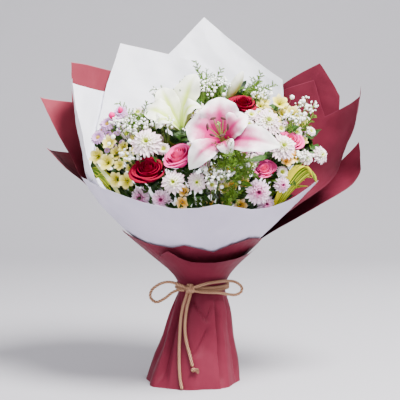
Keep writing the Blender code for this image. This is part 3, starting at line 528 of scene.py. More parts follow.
# %% The cup
CUP_LEFT = ((160, 34), (184, 54), (240, 120), (286, 167), (330, 197), (400, 208), (485, 220), (600, 228))
CUP_RIGHT = ((160, 34), (184, 50), (240, 104), (286, 152), (330, 196), (400, 208), (485, 214), (600, 220))


def rounded(height, table, reach=11.0):
    """The table's straight runs with their corners rounded over a few millimetres."""
    z, r = np.array(table, float).T
    return sum(np.interp(height + k * reach, z, r) for k in (-1.0, -0.5, 0.0, 0.5, 1.0)) / 5.0


def spacing(height):
    """Room from one sheet to the next: 1.5 mm at the tie, 3 mm from 75 mm above it on."""
    return 1.5 + 1.5 * smooth((height - 165.0) / 75.0)


def cup(degrees, height):
    """Radius of the outer white sheet about the neck: left and right profiles blended by angle,
    and drawn in behind to an ellipse, R / sqrt(cos^2 + (sin / 0.66)^2)."""
    turn = np.radians(degrees)
    c, s = np.cos(turn), np.sin(turn)
    right = smooth((1.0 + c) / 2.0)
    radius = rounded(height, CUP_LEFT) * (1 - right) + rounded(height, CUP_RIGHT) * right
    behind = 1.0 / np.sqrt(c ** 2 + (np.maximum(s, 0) / 0.66) ** 2 + np.minimum(s, 0) ** 2)
    return radius * (1.0 - (1.0 - behind) * smooth((height - 160.0) / 120.0))


print("the cup's radius in front is", round(float(cup(270.0, 160.0))), "mm at the tie and",
      round(float(cup(270.0, 400.0))), "mm at the blooms")

# %% [markdown]
# Folds are triangle waves, since paper bends along sharp lines and stays flat between them.

# %% Folds and creases
def zigzag(x):
    """A triangle wave from -1 to 1, with period 1."""
    return 4.0 * np.abs(x - np.floor(x + 0.5)) - 1.0


def folds(degrees, height):
    """Depth of the shared folds, never outward: A(z) (w - 1), w a mean of zigzags whose phases
    are bent by slow sines. Pleats run up from the tie; wide flat facets take over above."""
    a, h = np.radians(degrees), height / 100.0
    pleat = zigzag(5.5 * a + 0.35 * np.sin(3.0 * a + 1.3 * h) + 0.2 * h)
    facet = 0.6 * zigzag(1.55 * a + 0.55 * h + 0.16 * np.sin(4.0 * a)) \
        + 0.4 * zigzag(2.3 * a - 0.95 * h + 0.2 * np.sin(2.6 * h + 2.0 * a))
    rise = smooth((height - 190.0) / 90.0)
    w = pleat * (1.0 - rise) + facet * rise
    amount = 0.35 + 1.0 * smooth((height - 160.0) / 50.0) + 1.3 * smooth((height - 280.0) / 120.0)
    return amount * (w - 1.0)


def own_creases(degrees, height, seed):
    """0.23 times the sum of three zigzags: at most 0.7 mm, less than the room between two sheets."""
    a, h = np.radians(degrees) + 1.7 * seed, height / 100.0 + 0.9 * seed
    fine = zigzag(3.7 * a + 2.1 * h) + zigzag(5.1 * h - 2.9 * a + 0.3 * np.sin(5 * a)) \
        + zigzag(1.3 * h + 7.3 * a)
    return 0.23 * fine * smooth((height - 185.0) / 60.0)


print("the folds reach", round(float(-folds(np.linspace(0, 360, 99), 600.0).min()), 1), "mm inward")

# %% [markdown]
# Outer sheets lean away from the cup. Each lean is a profile in height times a soft window in
# angle, which opens from start over width degrees. Some sheets also step out a little all
# round, so that they clear their neighbours.

# %% How the sheets lean
def leaning(profile, start, width, reach=11.0, steps=()):
    """Lean = sum of size smooth((z - low) / over) + profile(z) smooth((a - start) / width)."""
    def lean(degrees, height):
        clear = sum(size * smooth((height - low) / over) for size, low, over in steps)
        return clear + rounded(height, profile, reach) * smooth((degrees - start) / width)
    return lean


FRONT_LEAN = ((231, 0), (280, 12), (309, 25), (358, 31), (407, 46), (474, 50), (520, 52))
lean_left_upper = leaning(((300, 0), (331, 6), (369, 20), (457, 50), (520, 62)), 158.0, 24.0)
lean_left_lower = leaning(((318, 0), (330, 10), (346, 27), (377, 51), (420, 60)), 150.0, 26.0, 6.0)
lean_right_front = leaning(FRONT_LEAN, 32.0, -34.0)
lean_right_back = leaning(FRONT_LEAN, 32.0, -34.0, steps=((0.9, 185.0, 30.0), (2.7, 345.0, 50.0)))
lean_right_lower = leaning(((200, 0), (232, 5), (268, 29), (312, 58), (354, 60), (400, 62)), 30.0, -35.0,
                           6.0, ((1.6, 185.0, 50.0),))
lean_back = leaning(((160, 0), (600, 0)), 0.0, 1.0, steps=((3.2, 185.0, 50.0),))


def layer(number, lean=None):
    """The sheet of that number, 5 the outer white one, at its distance and with its lean."""
    def radius(degrees, height):
        r = cup(degrees, height) - (5 - number) * spacing(height)
        return r + (lean(degrees, height) if lean else 0.0)
    return radius


def collar_inner(degrees, height):
    """The cup and 1.2 spacings, and up to 4.5 mm more where the wing stands off on the left."""
    clear = 4.5 * smooth((192.0 - degrees) / 14.0) * smooth((height - 165.0) / 30.0)
    return np.maximum(37.6, cup(degrees, height) + 1.2 * spacing(height) + clear)


def collar_front(degrees, height):
    """The cup and 2.4 spacings, and a lean of up to 30 mm in front that fades over 78 degrees."""
    stand = smooth(1.0 - np.abs(degrees - 278.0) / 78.0)
    lean = stand * np.interp(height, (165, 200, 240), (0, 20, 30))
    return np.maximum(39.0, cup(degrees, height) + 2.4 * spacing(height) + lean)


print("the front collar stands", round(float(collar_front(278.0, 200.0))), "mm off the axis at 200 mm")

# %% [markdown]
# Paper is smooth and slightly satin. A thin light line along each sheet's cut edge is a painted
# highlight. Each point's distance from the edge is kept as the sheet's tone, in steps of 50 mm,
# and the finish turns the first millimetre light, as painted highlight. Fine crumpling, too small
# for the mesh, is relief: cells with sharp borders, bent by noise.

# %% Paper finishes
def paper_finish(name, slot, stops, edge, gloss):
    """Three shades in soft clouds, a painted highlight along the edge, and crumpling as relief."""
    made = Finish(name, slot, roughness=0.5, Specular_IOR_Level=gloss)
    _, _, distance = made.surface()
    drift = made.node("TexNoise", {"Vector": made.place, "Scale": 11.0}, output="Color")
    drift = made.node("VectorMath", {0: drift, "Scale": 0.05}, operation="SCALE")
    bent = made.node("VectorMath", {0: made.place, 1: drift}, operation="ADD")
    cell = made.node("TexVoronoi", {"Vector": bent, "Scale": 15.0}, feature="SMOOTH_F1")
    cloud = made.noise(9.0, 4.0)
    colour = made.ramp(cloud.between(0.3, 0.7) * 0.8 + cell * 0.25, *zip((0.0, 0.5, 1.0), stops))
    # the first millimetre from the cut edge takes the edge colour: a painted highlight
    made.feed(Base_Color=made.mix(distance.between(0.006, 0.022), edge, colour))
    crumple = cell * 0.9 + made.noise(45.0, 2.0) * 0.3
    made.relief(crumple + made.noise(900.0, 2.0) * 0.02, 0.0016, 0.45)
    return made.material


white_paper = paper_finish(
    "white paper", "paper_white", ((0.82, 0.82, 0.92), (0.88, 0.88, 0.96), (0.91, 0.91, 0.98)),
    (0.93, 0.93, 0.98), 0.3)
# The front sheet's white paper is darker and more lavender: its shade is painted into the colour.
painted_shade_front_paper = paper_finish(
    "white paper with painted shade", "paper_white", ((0.52, 0.48, 0.62), (0.58, 0.54, 0.68), (0.64, 0.59, 0.73)),
    (0.9, 0.88, 0.95), 0.3)
# The left burgundy sheets face the key lamp; this lighter copy of the burgundy paints that light into the
# colour.
painted_light_burgundy = paper_finish(
    "burgundy paper with painted light", "paper_burgundy",
    ((0.19, 0.028, 0.044), (0.225, 0.034, 0.052), (0.26, 0.044, 0.062)), (0.4, 0.13, 0.16), 0.08)
burgundy_paper = paper_finish(
    "burgundy paper", "paper_burgundy",
    ((0.1, 0.01, 0.022), (0.13, 0.014, 0.029), (0.16, 0.019, 0.038)), (0.2, 0.03, 0.06), 0.06)
print("a paper finish has", len(burgundy_paper.node_tree.nodes), "nodes")

# %% [markdown]
# A sheet's rim follows the photo corner by corner. Its columns are spaced by the rim's own
# length, so that no corner is lost, and its foot is tucked in under the twine.

# %% How a sheet is made
CELL, SHEET, RIM_SCALE = 6.5, 0.4, 50.0    # a grid cell, the paper's thickness, and tone 1 from the edge


def edge_distance(points):
    """Millimetres from each point to the sheet's rim or ends, along rows and columns."""
    down, side = (np.linalg.norm(np.diff(points, axis=k), axis=2) for k in (0, 1))
    to_rim = np.pad(down[::-1].cumsum(0)[::-1], ((0, 1), (0, 0)))
    left = np.pad(side.cumsum(1), ((0, 0), (1, 0)))
    right = np.pad(side[:, ::-1].cumsum(1)[:, ::-1], ((0, 0), (0, 1)))
    return np.minimum(to_rim, np.minimum(left, right))


def paper(name, surface, neck, rim, material, foot=146.0, creased=1.0):
    """A sheet on a grid of rows from the tie to the rim and columns from end to end.

    A column's angle runs evenly from neck to rim; the point is (x0 + r cos a, r sin a, z)."""
    corners = np.array(rim, float)
    run = np.abs(np.diff(corners[:, 0])) + 0.02 * np.abs(np.diff(corners[:, 1]))
    share = np.r_[0.0, np.cumsum(run)] / run.sum()
    size = np.hypot(np.radians(np.diff(corners[:, 0])) * 190.0, np.diff(corners[:, 1]))
    cut = np.concatenate([np.linspace(a, b, max(2, round(s / CELL)), endpoint=False)
                          for a, b, s in zip(share, share[1:], size)] + [[1.0]])
    top_turn, top = np.interp(cut, share, corners[:, 0]), np.interp(cut, share, corners[:, 1])
    rows = round((top.max() - foot) / CELL)
    u = np.linspace(0, 1, rows)[:, None] ** 1.05
    height = foot + (top - foot) * u
    turn = (neck[0] + (neck[1] - neck[0]) * cut) * (1 - u) + top_turn * u
    seed = sum(map(ord, name)) % 17
    radius = surface(turn, height) + creased * (folds(turn, height) + own_creases(turn, height, seed))
    a = np.radians(turn)
    points = np.stack([NECK_X + radius * np.cos(a), radius * np.sin(a), height], -1)
    verts, triangles, uv, _ = petals(points[None], SHEET)
    distance = edge_distance(points)
    tone = np.minimum(np.r_[distance.ravel(), distance[1:-1, 1:-1].ravel()] / RIM_SCALE, 1.0)
    add_piece(name + "_visual", [(verts, triangles, uv, tone)], material, [name], crease=38.0)
    flat = [np.linalg.norm(np.diff(points, axis=1 - k), axis=2).sum(1 - k).max() for k in (0, 1)]
    print(name, "flat about", round(flat[0]), "x", round(flat[1]), "mm")


# %% [markdown]
# Each sheet has its number in the nest, its ends at the tie in degrees, and its rim as corners
# (degrees, height) read off the photo, where 270 degrees is the front and 0 the right.

# %% The sheets
FRONT_RIM = ((190, 331), (203, 328), (218, 317), (240, 298), (255, 290), (268, 291), (278, 297),
             (298, 287), (311, 288), (324, 297), (338, 324), (348, 325))
# the front sheet takes the darker copy of the white paper, with its shade painted in
paper("paper_white_front", layer(5), (193, 347), FRONT_RIM, painted_shade_front_paper)
paper("paper_white_left", layer(2), (236, 128),
      ((205, 345), (189, 485), (152, 465), (138, 452)), white_paper)
paper("paper_white_back_left", layer(0), (196, 70),
      ((156, 450), (144, 546), (115, 529), (99, 519), (80, 500)), white_paper)
paper("paper_white_back_centre", layer(1), (140, -8),
      ((128, 470), (114, 529), (88.5, 591.5), (35, 485), (41, 428), (20, 340)), white_paper)
paper("paper_burgundy_back", layer(5, lean_back), (146, 20),
      ((154, 345), (132, 405), (100, 440), (60, 440), (44, 392), (34, 345)), burgundy_paper)
# the two left burgundy sheets take the lighter copy, with the key lamp's light painted in
paper("paper_burgundy_left_upper", layer(3, lean_left_upper), (188, 120),
      ((184, 457), (168, 448), (166, 513), (147, 500), (132, 430)), painted_light_burgundy)
paper("paper_burgundy_left_lower", layer(4, lean_left_lower), (188, 135),
      ((187, 377), (168, 366), (150, 352)), painted_light_burgundy)
paper("paper_burgundy_right_back", layer(3, lean_right_back), (13, 70),
      ((12, 458), (21, 512), (40, 472), (52, 420)), burgundy_paper)
paper("paper_burgundy_right_front", layer(2, lean_right_front), (-9, 62),
      ((-8, 474), (16, 424), (21.6, 484), (38, 465), (48, 420)), burgundy_paper)
paper("paper_burgundy_right_lower", layer(4, lean_right_lower), (-8, 56),
      ((-7, 311), (3.7, 384), (9.3, 354), (30, 360)), burgundy_paper)
paper("collar_inner", collar_inner, (150, 352),
      ((158, 219), (190, 246), (218, 229), (243, 224), (255, 229), (268, 223), (281, 217),
       (296, 228), (316, 237), (340, 233), (350, 223)), burgundy_paper, 149.0, 0.35)
paper("collar_front", collar_front, (194, 346),
      ((194, 186), (243, 220), (247, 214), (252, 207), (260, 202), (282, 201), (306, 206), (330, 214),
       (344, 220)), burgundy_paper, 149.0, 0.15)

# %% [markdown]
# The skirt is one more sheet, gathered by the twine and flared over the stem ends. Its pleats
# are sharper here than in the solid. They only go inward, so the twine's tails stay clear of it.

# %% The skirt's shape
FOLDS = (                        # from (degrees, height) to (degrees, height), depth, fall and rise
    (212, 143, 227, 6, 13.5, 4.5, 14), (299, 140, 303, 2, 8.5, 2.2, 12), (246, 138, 281, 104, 3.4, 3, 10),
    (293, 130, 281, 104, 2.4, 3, 8), (288, 98, 266, 50, 3.4, 4, 14), (331, 142, 340, 4, 4.2, 3, 15),
    (184, 140, 186, 30, 3.4, 3, 15), (154, 142, 148, 2, 4.0, 3, 16), (118, 138, 124, 8, 3.6, 3, 16),
    (86, 140, 78, 4, 4.2, 3, 17), (50, 142, 55, 8, 3.4, 3, 15), (16, 140, 12, 4, 3.8, 3, 15))


def folded(t, z):
    """Sum of d q' max(0, min(1 - s/w, 1 + s/n)): each fold falls steeply over n degrees on one
    side of its line, rises over w on the other, and fades out (q') at both ends."""
    total = 0 * z
    for top, high, foot, low, depth, narrow, wide in FOLDS:
        q = (high - z) / (high - low)
        s = (np.degrees(t) - top - (foot - top) * q + 180) % 360 - 180
        total = total + depth * smooth(q / 0.25) * smooth((1.08 - q) / 0.2) \
            * np.maximum(0, np.minimum(1 - s / wide, 1 + s / narrow))
    return total


def skirt_points(columns, rows):
    """r = R(z) (1 + depth pleat) (1 + front), less creases and folds, about the axis x(z)."""
    turn = np.arange(columns) * 2 * math.pi / columns
    t, z = np.meshgrid(turn, np.linspace(0, 160, rows))
    radius = rounded(z, ((0, 77), (62, 61), (118, 48), (149, 36.2), (160, 36.2)), 8.0)
    axis = rounded(z, ((0, 3), (62, 10.5), (118, 16), (149, 18), (160, 18)), 8.0)
    radius, axis = np.where(z < 12, 77 - z * 16 / 62, radius), np.where(z < 12, 3 + z * 7.5 / 62, axis)
    low = smooth((150.0 - z) / 90.0)
    pleat = 0.6 * np.sin(5 * t + 0.6) + 0.4 * np.sin(8 * t + 2.1)
    radius = radius * (1 + 0.055 * low * pleat) \
        * (1 + 0.09 * smooth((150.0 - z) / 150.0) * np.maximum(-np.sin(t), 0))
    a, h = t / (2 * math.pi), z / 100.0
    crease = 1.1 * (1 - zigzag(9 * a + 0.22 * h + 0.1 * np.sin(6 * h))) * (0.35 + 0.65 * low) \
        + 0.2 * (1 - zigzag(23 * a - 0.3 * h)) * smooth((z - 40) / 90.0) \
        + 0.8 * (1 - zigzag(4 * a + 1.4 * h)) * low
    tails = smooth(1.6 - np.abs(np.degrees(t) - 258.0) / 16.0)
    radius = radius - crease * (1 - 0.9 * tails) * smooth((152.0 - z) / 12.0 + 0.25) - folded(t, z)
    return np.stack([axis + radius * np.cos(t), radius * np.sin(t), z], -1)


print("the skirt's foot is", round(np.ptp(skirt_points(72, 5)[0, :, 0])), "mm wide")

# %% [markdown]
# It is closed like a petal, with a face and a back, but runs all round and has no ends.

# %% The skirt as a band
def ring_sheet(points, thickness):
    """A closed band: its columns meet, and inside and outside close on each other at both rims."""
    rows, columns, _ = points.shape
    normal = unit(np.cross(np.roll(points, -1, 1) - np.roll(points, 1, 1), np.gradient(points, axis=0)))
    inner = (points - thickness * normal)[1:-1]
    face = np.arange(rows * columns).reshape(rows, columns)
    behind = face.copy()
    behind[1:-1] = rows * columns + np.arange((rows - 2) * columns).reshape(rows - 2, -1)
    sides = []
    for number, flip in ((face, False), (behind, True)):
        ring = np.concatenate([number, number[:, :1]], 1)
        a, b, c, d = ring[:-1, :-1], ring[:-1, 1:], ring[1:, 1:], ring[1:, :-1]
        both = np.stack([a, b, c, a, c, d], -1).reshape(-1, 3)
        sides.append(both[:, ::-1] if flip else both)
    v, u = np.meshgrid(np.arange(columns) / columns, np.linspace(0, 1, rows))
    uv = np.stack([v, u], -1)
    uv = np.concatenate([uv.reshape(-1, 2), uv[1:-1].reshape(-1, 2)])
    return np.concatenate([points.reshape(-1, 3), inner.reshape(-1, 3)]), np.concatenate(sides), uv


skirt = skirt_points(288, 44)
verts, triangles, uv = ring_sheet(skirt, 0.5)
# the bottom millimetre of the skirt takes the paper's edge colour, a painted highlight
hem = np.r_[skirt[..., 2].ravel(), skirt[1:-1, :, 2].ravel()] / RIM_SCALE
add_piece("paper_skirt_visual", [(verts, triangles, uv, np.minimum(hem, 1.0))],
          burgundy_paper, ["paper_skirt"], crease=40.0)
print("papers done,", sum(TRIANGLES.values()), "triangles so far")
# %% [markdown]
# ## Petals
#
# Most petals are one shape at many sizes. Seen from above, the outline rises like a sine from
# the root and ends in a root of one minus a square, which makes round or pointed tips. Seen
# from the side it climbs, arches and curls back. A ring of petals is worked out in one go.

# %% Petal shapes
def outline(u, widest=0.6, blunt=0.5):
    """Half width along a petal: sin(pi/2 u/m)^0.9 up to m, then (1 - ((u-m)/(1-m))^2)^blunt."""
    up = np.sin(0.5 * math.pi * np.clip(u / widest, 0, 1)) ** 0.9
    down = (1 - np.clip((u - widest) / (1 - widest), 0, 1) ** 2) ** blunt
    return np.maximum(up * down, 0.05)


def column(x):
    """A value for each petal, or one for all, shaped to multiply a grid."""
    return np.asarray(x, float).reshape(-1, 1, 1)


def around(a, r, w, z):
    """Points at r along the direction a and w across it, at the height z."""
    return np.stack([r * np.cos(a) - w * np.sin(a), r * np.sin(a) + w * np.cos(a), z + 0 * (a + w)], -1)


def petal_ring(angle, root, tip, foot, top, arch, half, cup=0.3, rows=7, columns=5, widest=0.62,
               blunt=0.5):
    """Petals from (root, foot) to (tip, top) in (r, z), with z + arch sin(pi u).

    w = half outline(u) v to the side, and the edges rise by cup w^2 / half."""
    u = np.linspace(0, 1, rows)[None, :, None]
    v = np.linspace(-1, 1, columns)[None, None, :]
    a, half = column(angle), column(half)
    w = half * outline(u, widest, blunt) * v
    r = column(root) + (column(tip) - column(root)) * u
    z = column(foot) + (column(top) - column(foot)) * u + column(arch) * np.sin(math.pi * u) \
        + cup * w ** 2 / half
    return around(a, r, w, z)


print("a ring of six petals has", petal_ring(np.arange(6), 1, 9, 0, 2, 1, 3).size // 3, "points")

# %% [markdown]
# A rose is a spiral of broad petals, closed round its eye and rolled back at the rim. They are
# wrapped round the axis by angle and height, since petals bent from flat ones would gape.

# %% A rose
def rose_petals(radius, phase, seed):
    """Twenty-one petals in a golden-angle spiral, wrapped round the axis like scales.

    Petal k, s = k / 20 from bud to rim: its edge falls by 0.16 |v|^2.6, its opening radius is
    R (0.05 + 0.82 s^1.1), and its lip, past 0.66 of the length, rolls out and down."""
    rng = np.random.default_rng(seed)
    count, h = 21, 1.05 * radius
    s = column(np.linspace(0, 1, count))
    turn = phase + GOLDEN * column(np.arange(count)) + rng.uniform(-0.2, 0.2, (count, 1, 1))
    u, v = np.linspace(0, 1, 14)[None, :, None], np.linspace(-1, 1, 11)[None, None, :]
    w = u * (1 - 0.16 * np.abs(v) ** 2.6)
    half = np.radians(150 - 96 * s ** 0.7)
    top = h * (0.24 - 0.2 * s ** 1.4) + rng.uniform(-0.03, 0.03, (count, 1, 1)) * h
    root = -0.86 * h
    size = (0.05 + 0.82 * s ** 1.1) * rng.uniform(0.96, 1.04, (count, 1, 1))
    r = 0.08 * radius * (1 - w) + radius * size * (1 - (1 - w) ** 2.4) \
        * (1 - 0.34 * (1 - s) ** 1.3 * smooth((w - 0.45) / 0.55))
    lip = np.clip((w - 0.66) / 0.34, 0, 1) ** 2 * rng.uniform(0.7, 1.25, (count, 1, 1))
    r = r + lip * radius * (0.02 + 0.15 * s) + 0.03 * radius * v * (0.3 + w) \
        + 0.014 * radius * np.sin(4 * v + 7 * s * count) * u
    z = root + (top - root) * w ** 1.1 - lip * h * (0.02 + 0.22 * s)
    a = turn + half * v * (0.55 + 0.45 * smooth(w / 0.5))
    points = np.stack([r * np.cos(a), r * np.sin(a), z + 0 * a], -1)
    return petals(points, 0.45, 0.1 + 0.65 * s.ravel() + 0.25 * rng.random(count))


print("a rose has", len(rose_petals(30.0, 0.0, 0)[1]), "triangles")

# %% [markdown]
# A spray chrysanthemum has rings of narrow petals round a button of short florets. Each ring
# is one call of the common petal, and the florets are rods set in a seed spiral.

# %% A chrysanthemum
def disc(radius, height, base, count=24):
    """Short florets in the seed spiral r = R sqrt((k + 1/2) / n), each a golden angle on."""
    k = np.arange(count)
    r, a = radius * np.sqrt((k + 0.5) / count), GOLDEN * k
    top = base + height * (1.0 - 0.5 * (r / radius) ** 2)
    z = np.stack([np.full(count, base - 1.0), top * 0.7 + base * 0.3, top], 1)
    path = np.stack([np.stack([r * np.cos(a)] * 3, 1), np.stack([r * np.sin(a)] * 3, 1), z], -1)
    return rods(path, np.array([0.8, 1.0, 0.45]) * radius * 0.85 / math.sqrt(count) * 1.3, 5,
                (0.0, 1.0, 0.1), 0.05)


def mum_head(radius, seed, rings=6, count=25):
    """Rings of narrow petals, shorter and more upright towards a disc of florets."""
    rng = np.random.default_rng(seed)
    solids = [disc(0.2 * radius, 0.16 * radius, 0.04 * radius)]
    for j in range(rings):
        n, share = count - 3 * j, j / 5.0
        a = (np.arange(n) + 0.5 * (j % 2)) * 2 * math.pi / n + rng.uniform(-0.13, 0.13, n)
        size = rng.uniform(0.82, 1.05, n)
        tip = radius * (1.0 - 0.7 * share ** 1.1) * size
        top = radius * (-0.04 + 0.42 * share ** 0.9 + rng.uniform(-0.08, 0.09, n))
        ring = petal_ring(a, 0.06 * radius, tip, radius * (-0.22 + 0.24 * share), top,
                          radius * (0.12 + 0.02 * j), radius * (0.115 - 0.01 * j), cup=0.9,
                          widest=0.7, blunt=1.0, rows=7, columns=3 if radius < 13 else 5)
        solids.append(petals(ring, 0.3, 0.25 + 0.5 * share + 0.25 * rng.random(n)))
    return joined(solids)


print("a chrysanthemum has", len(mum_head(20.0, 0)[1]), "triangles")

# %% [markdown]
# A lily's six tepals are long, ruffled along the edge and sunken at the midrib, so they have a
# formula of their own. Green cups and ovaries are turned like wood on a lathe.

# %% Lily tepals, and turned shapes
def lily_tepals(tepals, depth, rise):
    """Tepals (degrees, length, half width, drop). Along one, r = 2 + (L - 2) t^1.15 and
    z = -0.45 d + (h + 0.45 d) sin(pi/2 t/0.72) - drop (t - 0.6)/0.4, with a ruffled edge
    and a sunken midrib."""
    t, v = np.linspace(0, 1, 30)[None, :, None], np.linspace(-1, 1, 13)[None, None, :]
    degrees, length, half, drop = (column(c) for c in np.array(tepals, float).T)
    a, k = np.radians(degrees), column(np.arange(len(tepals)))
    r = 2.0 + (length - 2.0) * t ** 1.15
    z = -0.45 * depth + (rise + 0.45 * depth) * np.sin(0.5 * math.pi * t / 0.72) \
        - drop * np.maximum(t - 0.6, 0) / 0.4 + 2.6 * (k % 2)
    width = half * 1.12 * np.interp(t, (0, .1, .25, .5, .62, .75, .88, .96, 1),
                                    (.12, .4, .8, 1, .98, .84, .52, .22, .04))
    w = width * v
    ruffle = 0.1 * half * np.sin(2 * math.pi * (3.1 * t + 0.17 * k) + 1.5 * v) \
        * np.abs(v) ** 2.2 * smooth((t - 0.25) / 0.2) * smooth((1.03 - t) / 0.2)
    vein = -0.05 * half * (1 - smooth(np.abs(v) / 0.16)) * smooth((0.97 - t) / 0.3)
    trough = 0.2 * width * (1 - np.abs(v) ** 1.4) * (0.25 - smooth((t - 0.05) / 0.3))
    z = z + trough + ruffle + vein
    return petals(around(a, r, w, z), 0.7, np.linspace(0.1, 0.9, len(tepals)))


def turned(profile, sides=20):
    """A closed solid of revolution about local Z, through (radius, height) stops."""
    r, z = np.array(profile, float).T
    fine = np.linspace(0, len(r) - 1, 4 * len(r))
    path = np.stack([0 * fine, 0 * fine, np.interp(fine, np.arange(len(z)), z)], -1)
    return rods(path, np.maximum(np.interp(fine, np.arange(len(r)), r), 0.05), sides, (0, 1, 0))


print("a tepal has", len(lily_tepals(((0, 60, 20, 4),), 46.0, 16.0)[1]), "triangles")

# %% [markdown]
# Alstroemeria is a small funnel of six tepals with a few stamens; the three inner tepals are
# slimmer. An aster is a flat head of narrow rays round a disc.

# %% Alstroemeria and aster
def funnel_head(radius, seed):
    """Six tepals out of a narrow tube: r = R (0.08 + 0.9 u^1.5), z = R (1.02 u^0.72 - 0.9)."""
    rng = np.random.default_rng(seed)
    u, v = np.linspace(0, 1, 9)[None, :, None], np.linspace(-1, 1, 5)[None, None, :]
    k = column(np.arange(6))
    a = k * math.pi / 3 + rng.uniform(-0.08, 0.08, (6, 1, 1))
    inner = (k % 2)
    r = 0.08 * radius + radius * (0.9 + 0.08 * inner) * u ** 1.5
    z = -0.9 * radius + radius * 1.02 * u ** 0.72 - 0.16 * radius * (1 - inner) * u ** 4
    w = radius * (0.4 - 0.1 * inner) * outline(u, 0.68, 0.62 + 0.2 * inner) * v
    z = z + 0.35 * w ** 2 / radius
    tone = 0.2 + 0.6 * inner.ravel() + 0.1 * rng.random(6)
    steps = ((0, -0.5), (0.14, -0.1), (0.26, 0.14))
    stamens = np.array([[(s * math.cos(b), s * math.sin(b), z) for s, z in steps]
                        for b in (0.4, 1.9, 3.1, 4.4, 5.5)])
    return joined([petals(around(a, r, w, z), 0.3, tone),
                   rods(stamens * radius, np.array([0.2, 0.25, 0.45]), 4, (0.2, 0.3, 0.1), 0.02)])


def ray_head(radius, seed):
    """Three rings of narrow rays, 17, 15 and 13, each shorter and higher, round a small disc."""
    rng = np.random.default_rng(seed)
    solids = [disc(0.26 * radius, 0.2 * radius, 0.0, 14)]
    for j in range(3):
        n = 17 - 2 * j
        a = (np.arange(n) + 0.5 * j) * 2 * math.pi / n + rng.uniform(-0.07, 0.07, n)
        tip = radius * (1 - 0.16 * j) * rng.uniform(0.9, 1.03, n)
        ring = petal_ring(a, 0.12 * radius, tip, -0.12 * radius, 0.16 * j * radius, 0.1 * radius,
                          0.15 * radius, rows=5, columns=3, blunt=0.8)
        solids.append(petals(ring, 0.25, 0.3 + 0.6 * rng.random(n)))
    return joined(solids)


print("an aster has", len(ray_head(13.0, 0)[1]), "triangles")

# %% [markdown]
# ## Petal finishes
#
# One recipe serves them all. Colour follows the petal from root to tip through a ramp, and the
# petal's tone shifts it a little, so that no two petals match. Fine veins run lengthwise as
# relief. A second colour can come in at the edge, down the middle, or as dots near the root.

# %% Petal finish
def petal_finish(name, slot, stops, disc_colour=None, edge=None, midrib=None, dots=None,
                 streaks=None, roughness=0.5, veins=26.0, shade=0.25, gloss=0.25):
    """Ramp along the petal at u + shade (tone - 0.5), with its extra colours laid over it.

    edge and dots are (share, colour), midrib is (half width, share, colour), and the disc's
    florets are told by their low tone."""
    made = Finish(name, slot, roughness=roughness, Specular_IOR_Level=gloss)
    sides, along, tone = made.surface()
    off = abs(sides - 0.5) * 2.0
    cloud = made.noise(160.0, 2.0)
    where = along + (tone - 0.5) * shade + (cloud - 0.5) * 0.25
    colour = made.ramp(where, *stops)
    if edge:
        colour = made.mix(off.between(0.55, 1.0) * along.between(0.1, 0.5) * edge[0], colour, edge[1])
    if midrib:
        line = (1.0 - off.between(0.0, midrib[0])) * (1.0 - along.between(0.55, 1.0))
        colour = made.mix(line * midrib[1], colour, midrib[2])
    grid = made.node("CombineXYZ", {0: sides * 13.0, 1: along * 30.0, 2: tone * 90.0})
    if dots:
        cell = made.node("TexVoronoi", {"Vector": grid, "Scale": 1.0, "Randomness": 0.8})
        place = (1.0 - cell.between(0.14, 0.26)) * (1.0 - along.between(0.25, 0.55)) \
            * (1.0 - off.between(0.5, 0.85))
        colour = made.mix(place * dots[0], colour, dots[1])
    if streaks:
        long = made.node("CombineXYZ", {0: sides * 16.0, 1: along * 5.0, 2: tone * 70.0})
        cell = made.node("TexVoronoi", {"Vector": long, "Scale": 1.0})
        place = (1.0 - cell.between(0.1, 0.24)) * tone.between(0.4, 0.6) * along.between(0.35, 0.5) \
            * (1.0 - along.between(0.75, 0.95))
        colour = made.mix(place * 0.9, colour, streaks)
    if disc_colour:
        colour = made.mix(1.0 - tone.between(0.06, 0.14), colour, disc_colour)
    made.feed(Base_Color=colour)
    line = made.waves(sides * veins + cloud * 0.8)
    made.relief(line * 0.5 + cloud * 0.5, 0.0003, 0.6)
    return made.material


gypsophila = petal_finish("gypsophila", "gypsophila", (
    (0.0, (0.56, 0.66, 0.34)), (0.4, (0.86, 0.88, 0.82)), (1.0, (0.92, 0.92, 0.9))),
    roughness=0.6, veins=2.0)
print("the plainest petal finish has", len(gypsophila.node_tree.nodes), "nodes")

# %% [markdown]
# Each bloom's colours run from its petals' roots to their tips, as in the photo.

# %% Colours of the blooms
red_rose = petal_finish("red rose", "red_rose", (
    (0.0, (0.05, 0.0, 0.006)), (0.45, (0.15, 0.0, 0.013)), (0.8, (0.2, 0.0, 0.017)),
    (1.0, (0.22, 0.0, 0.019))), roughness=0.6, veins=14.0, gloss=0.06)
pink_rose = petal_finish("pink rose", "pink_rose", (
    (0.0, (0.46, 0.0, 0.07)), (0.45, (0.72, 0.002, 0.17)), (0.75, (0.8, 0.02, 0.24)),
    (1.0, (0.86, 0.07, 0.33))), roughness=0.6, veins=14.0, gloss=0.1)
pink_lily = petal_finish("pink lily", "pink_lily", (
    (0.0, (0.3, 0.0, 0.05)), (0.26, (0.5, 0.01, 0.15)), (0.5, (0.74, 0.22, 0.4)),
    (0.76, (0.88, 0.76, 0.8)), (1.0, (0.84, 0.85, 0.78))), edge=(0.85, (0.88, 0.86, 0.87)),
    midrib=(0.4, 0.95, (0.5, 0.0, 0.15)), dots=(0.9, (0.3, 0.01, 0.07)), roughness=0.42, veins=9.0)
white_lily = petal_finish("white lily", "white_lily", (
    (0.0, (0.34, 0.46, 0.06)), (0.25, (0.66, 0.74, 0.34)), (0.55, (0.82, 0.84, 0.66)),
    (1.0, (0.86, 0.87, 0.78))), midrib=(0.42, 0.95, (0.5, 0.64, 0.08)), roughness=0.42, veins=9.0)
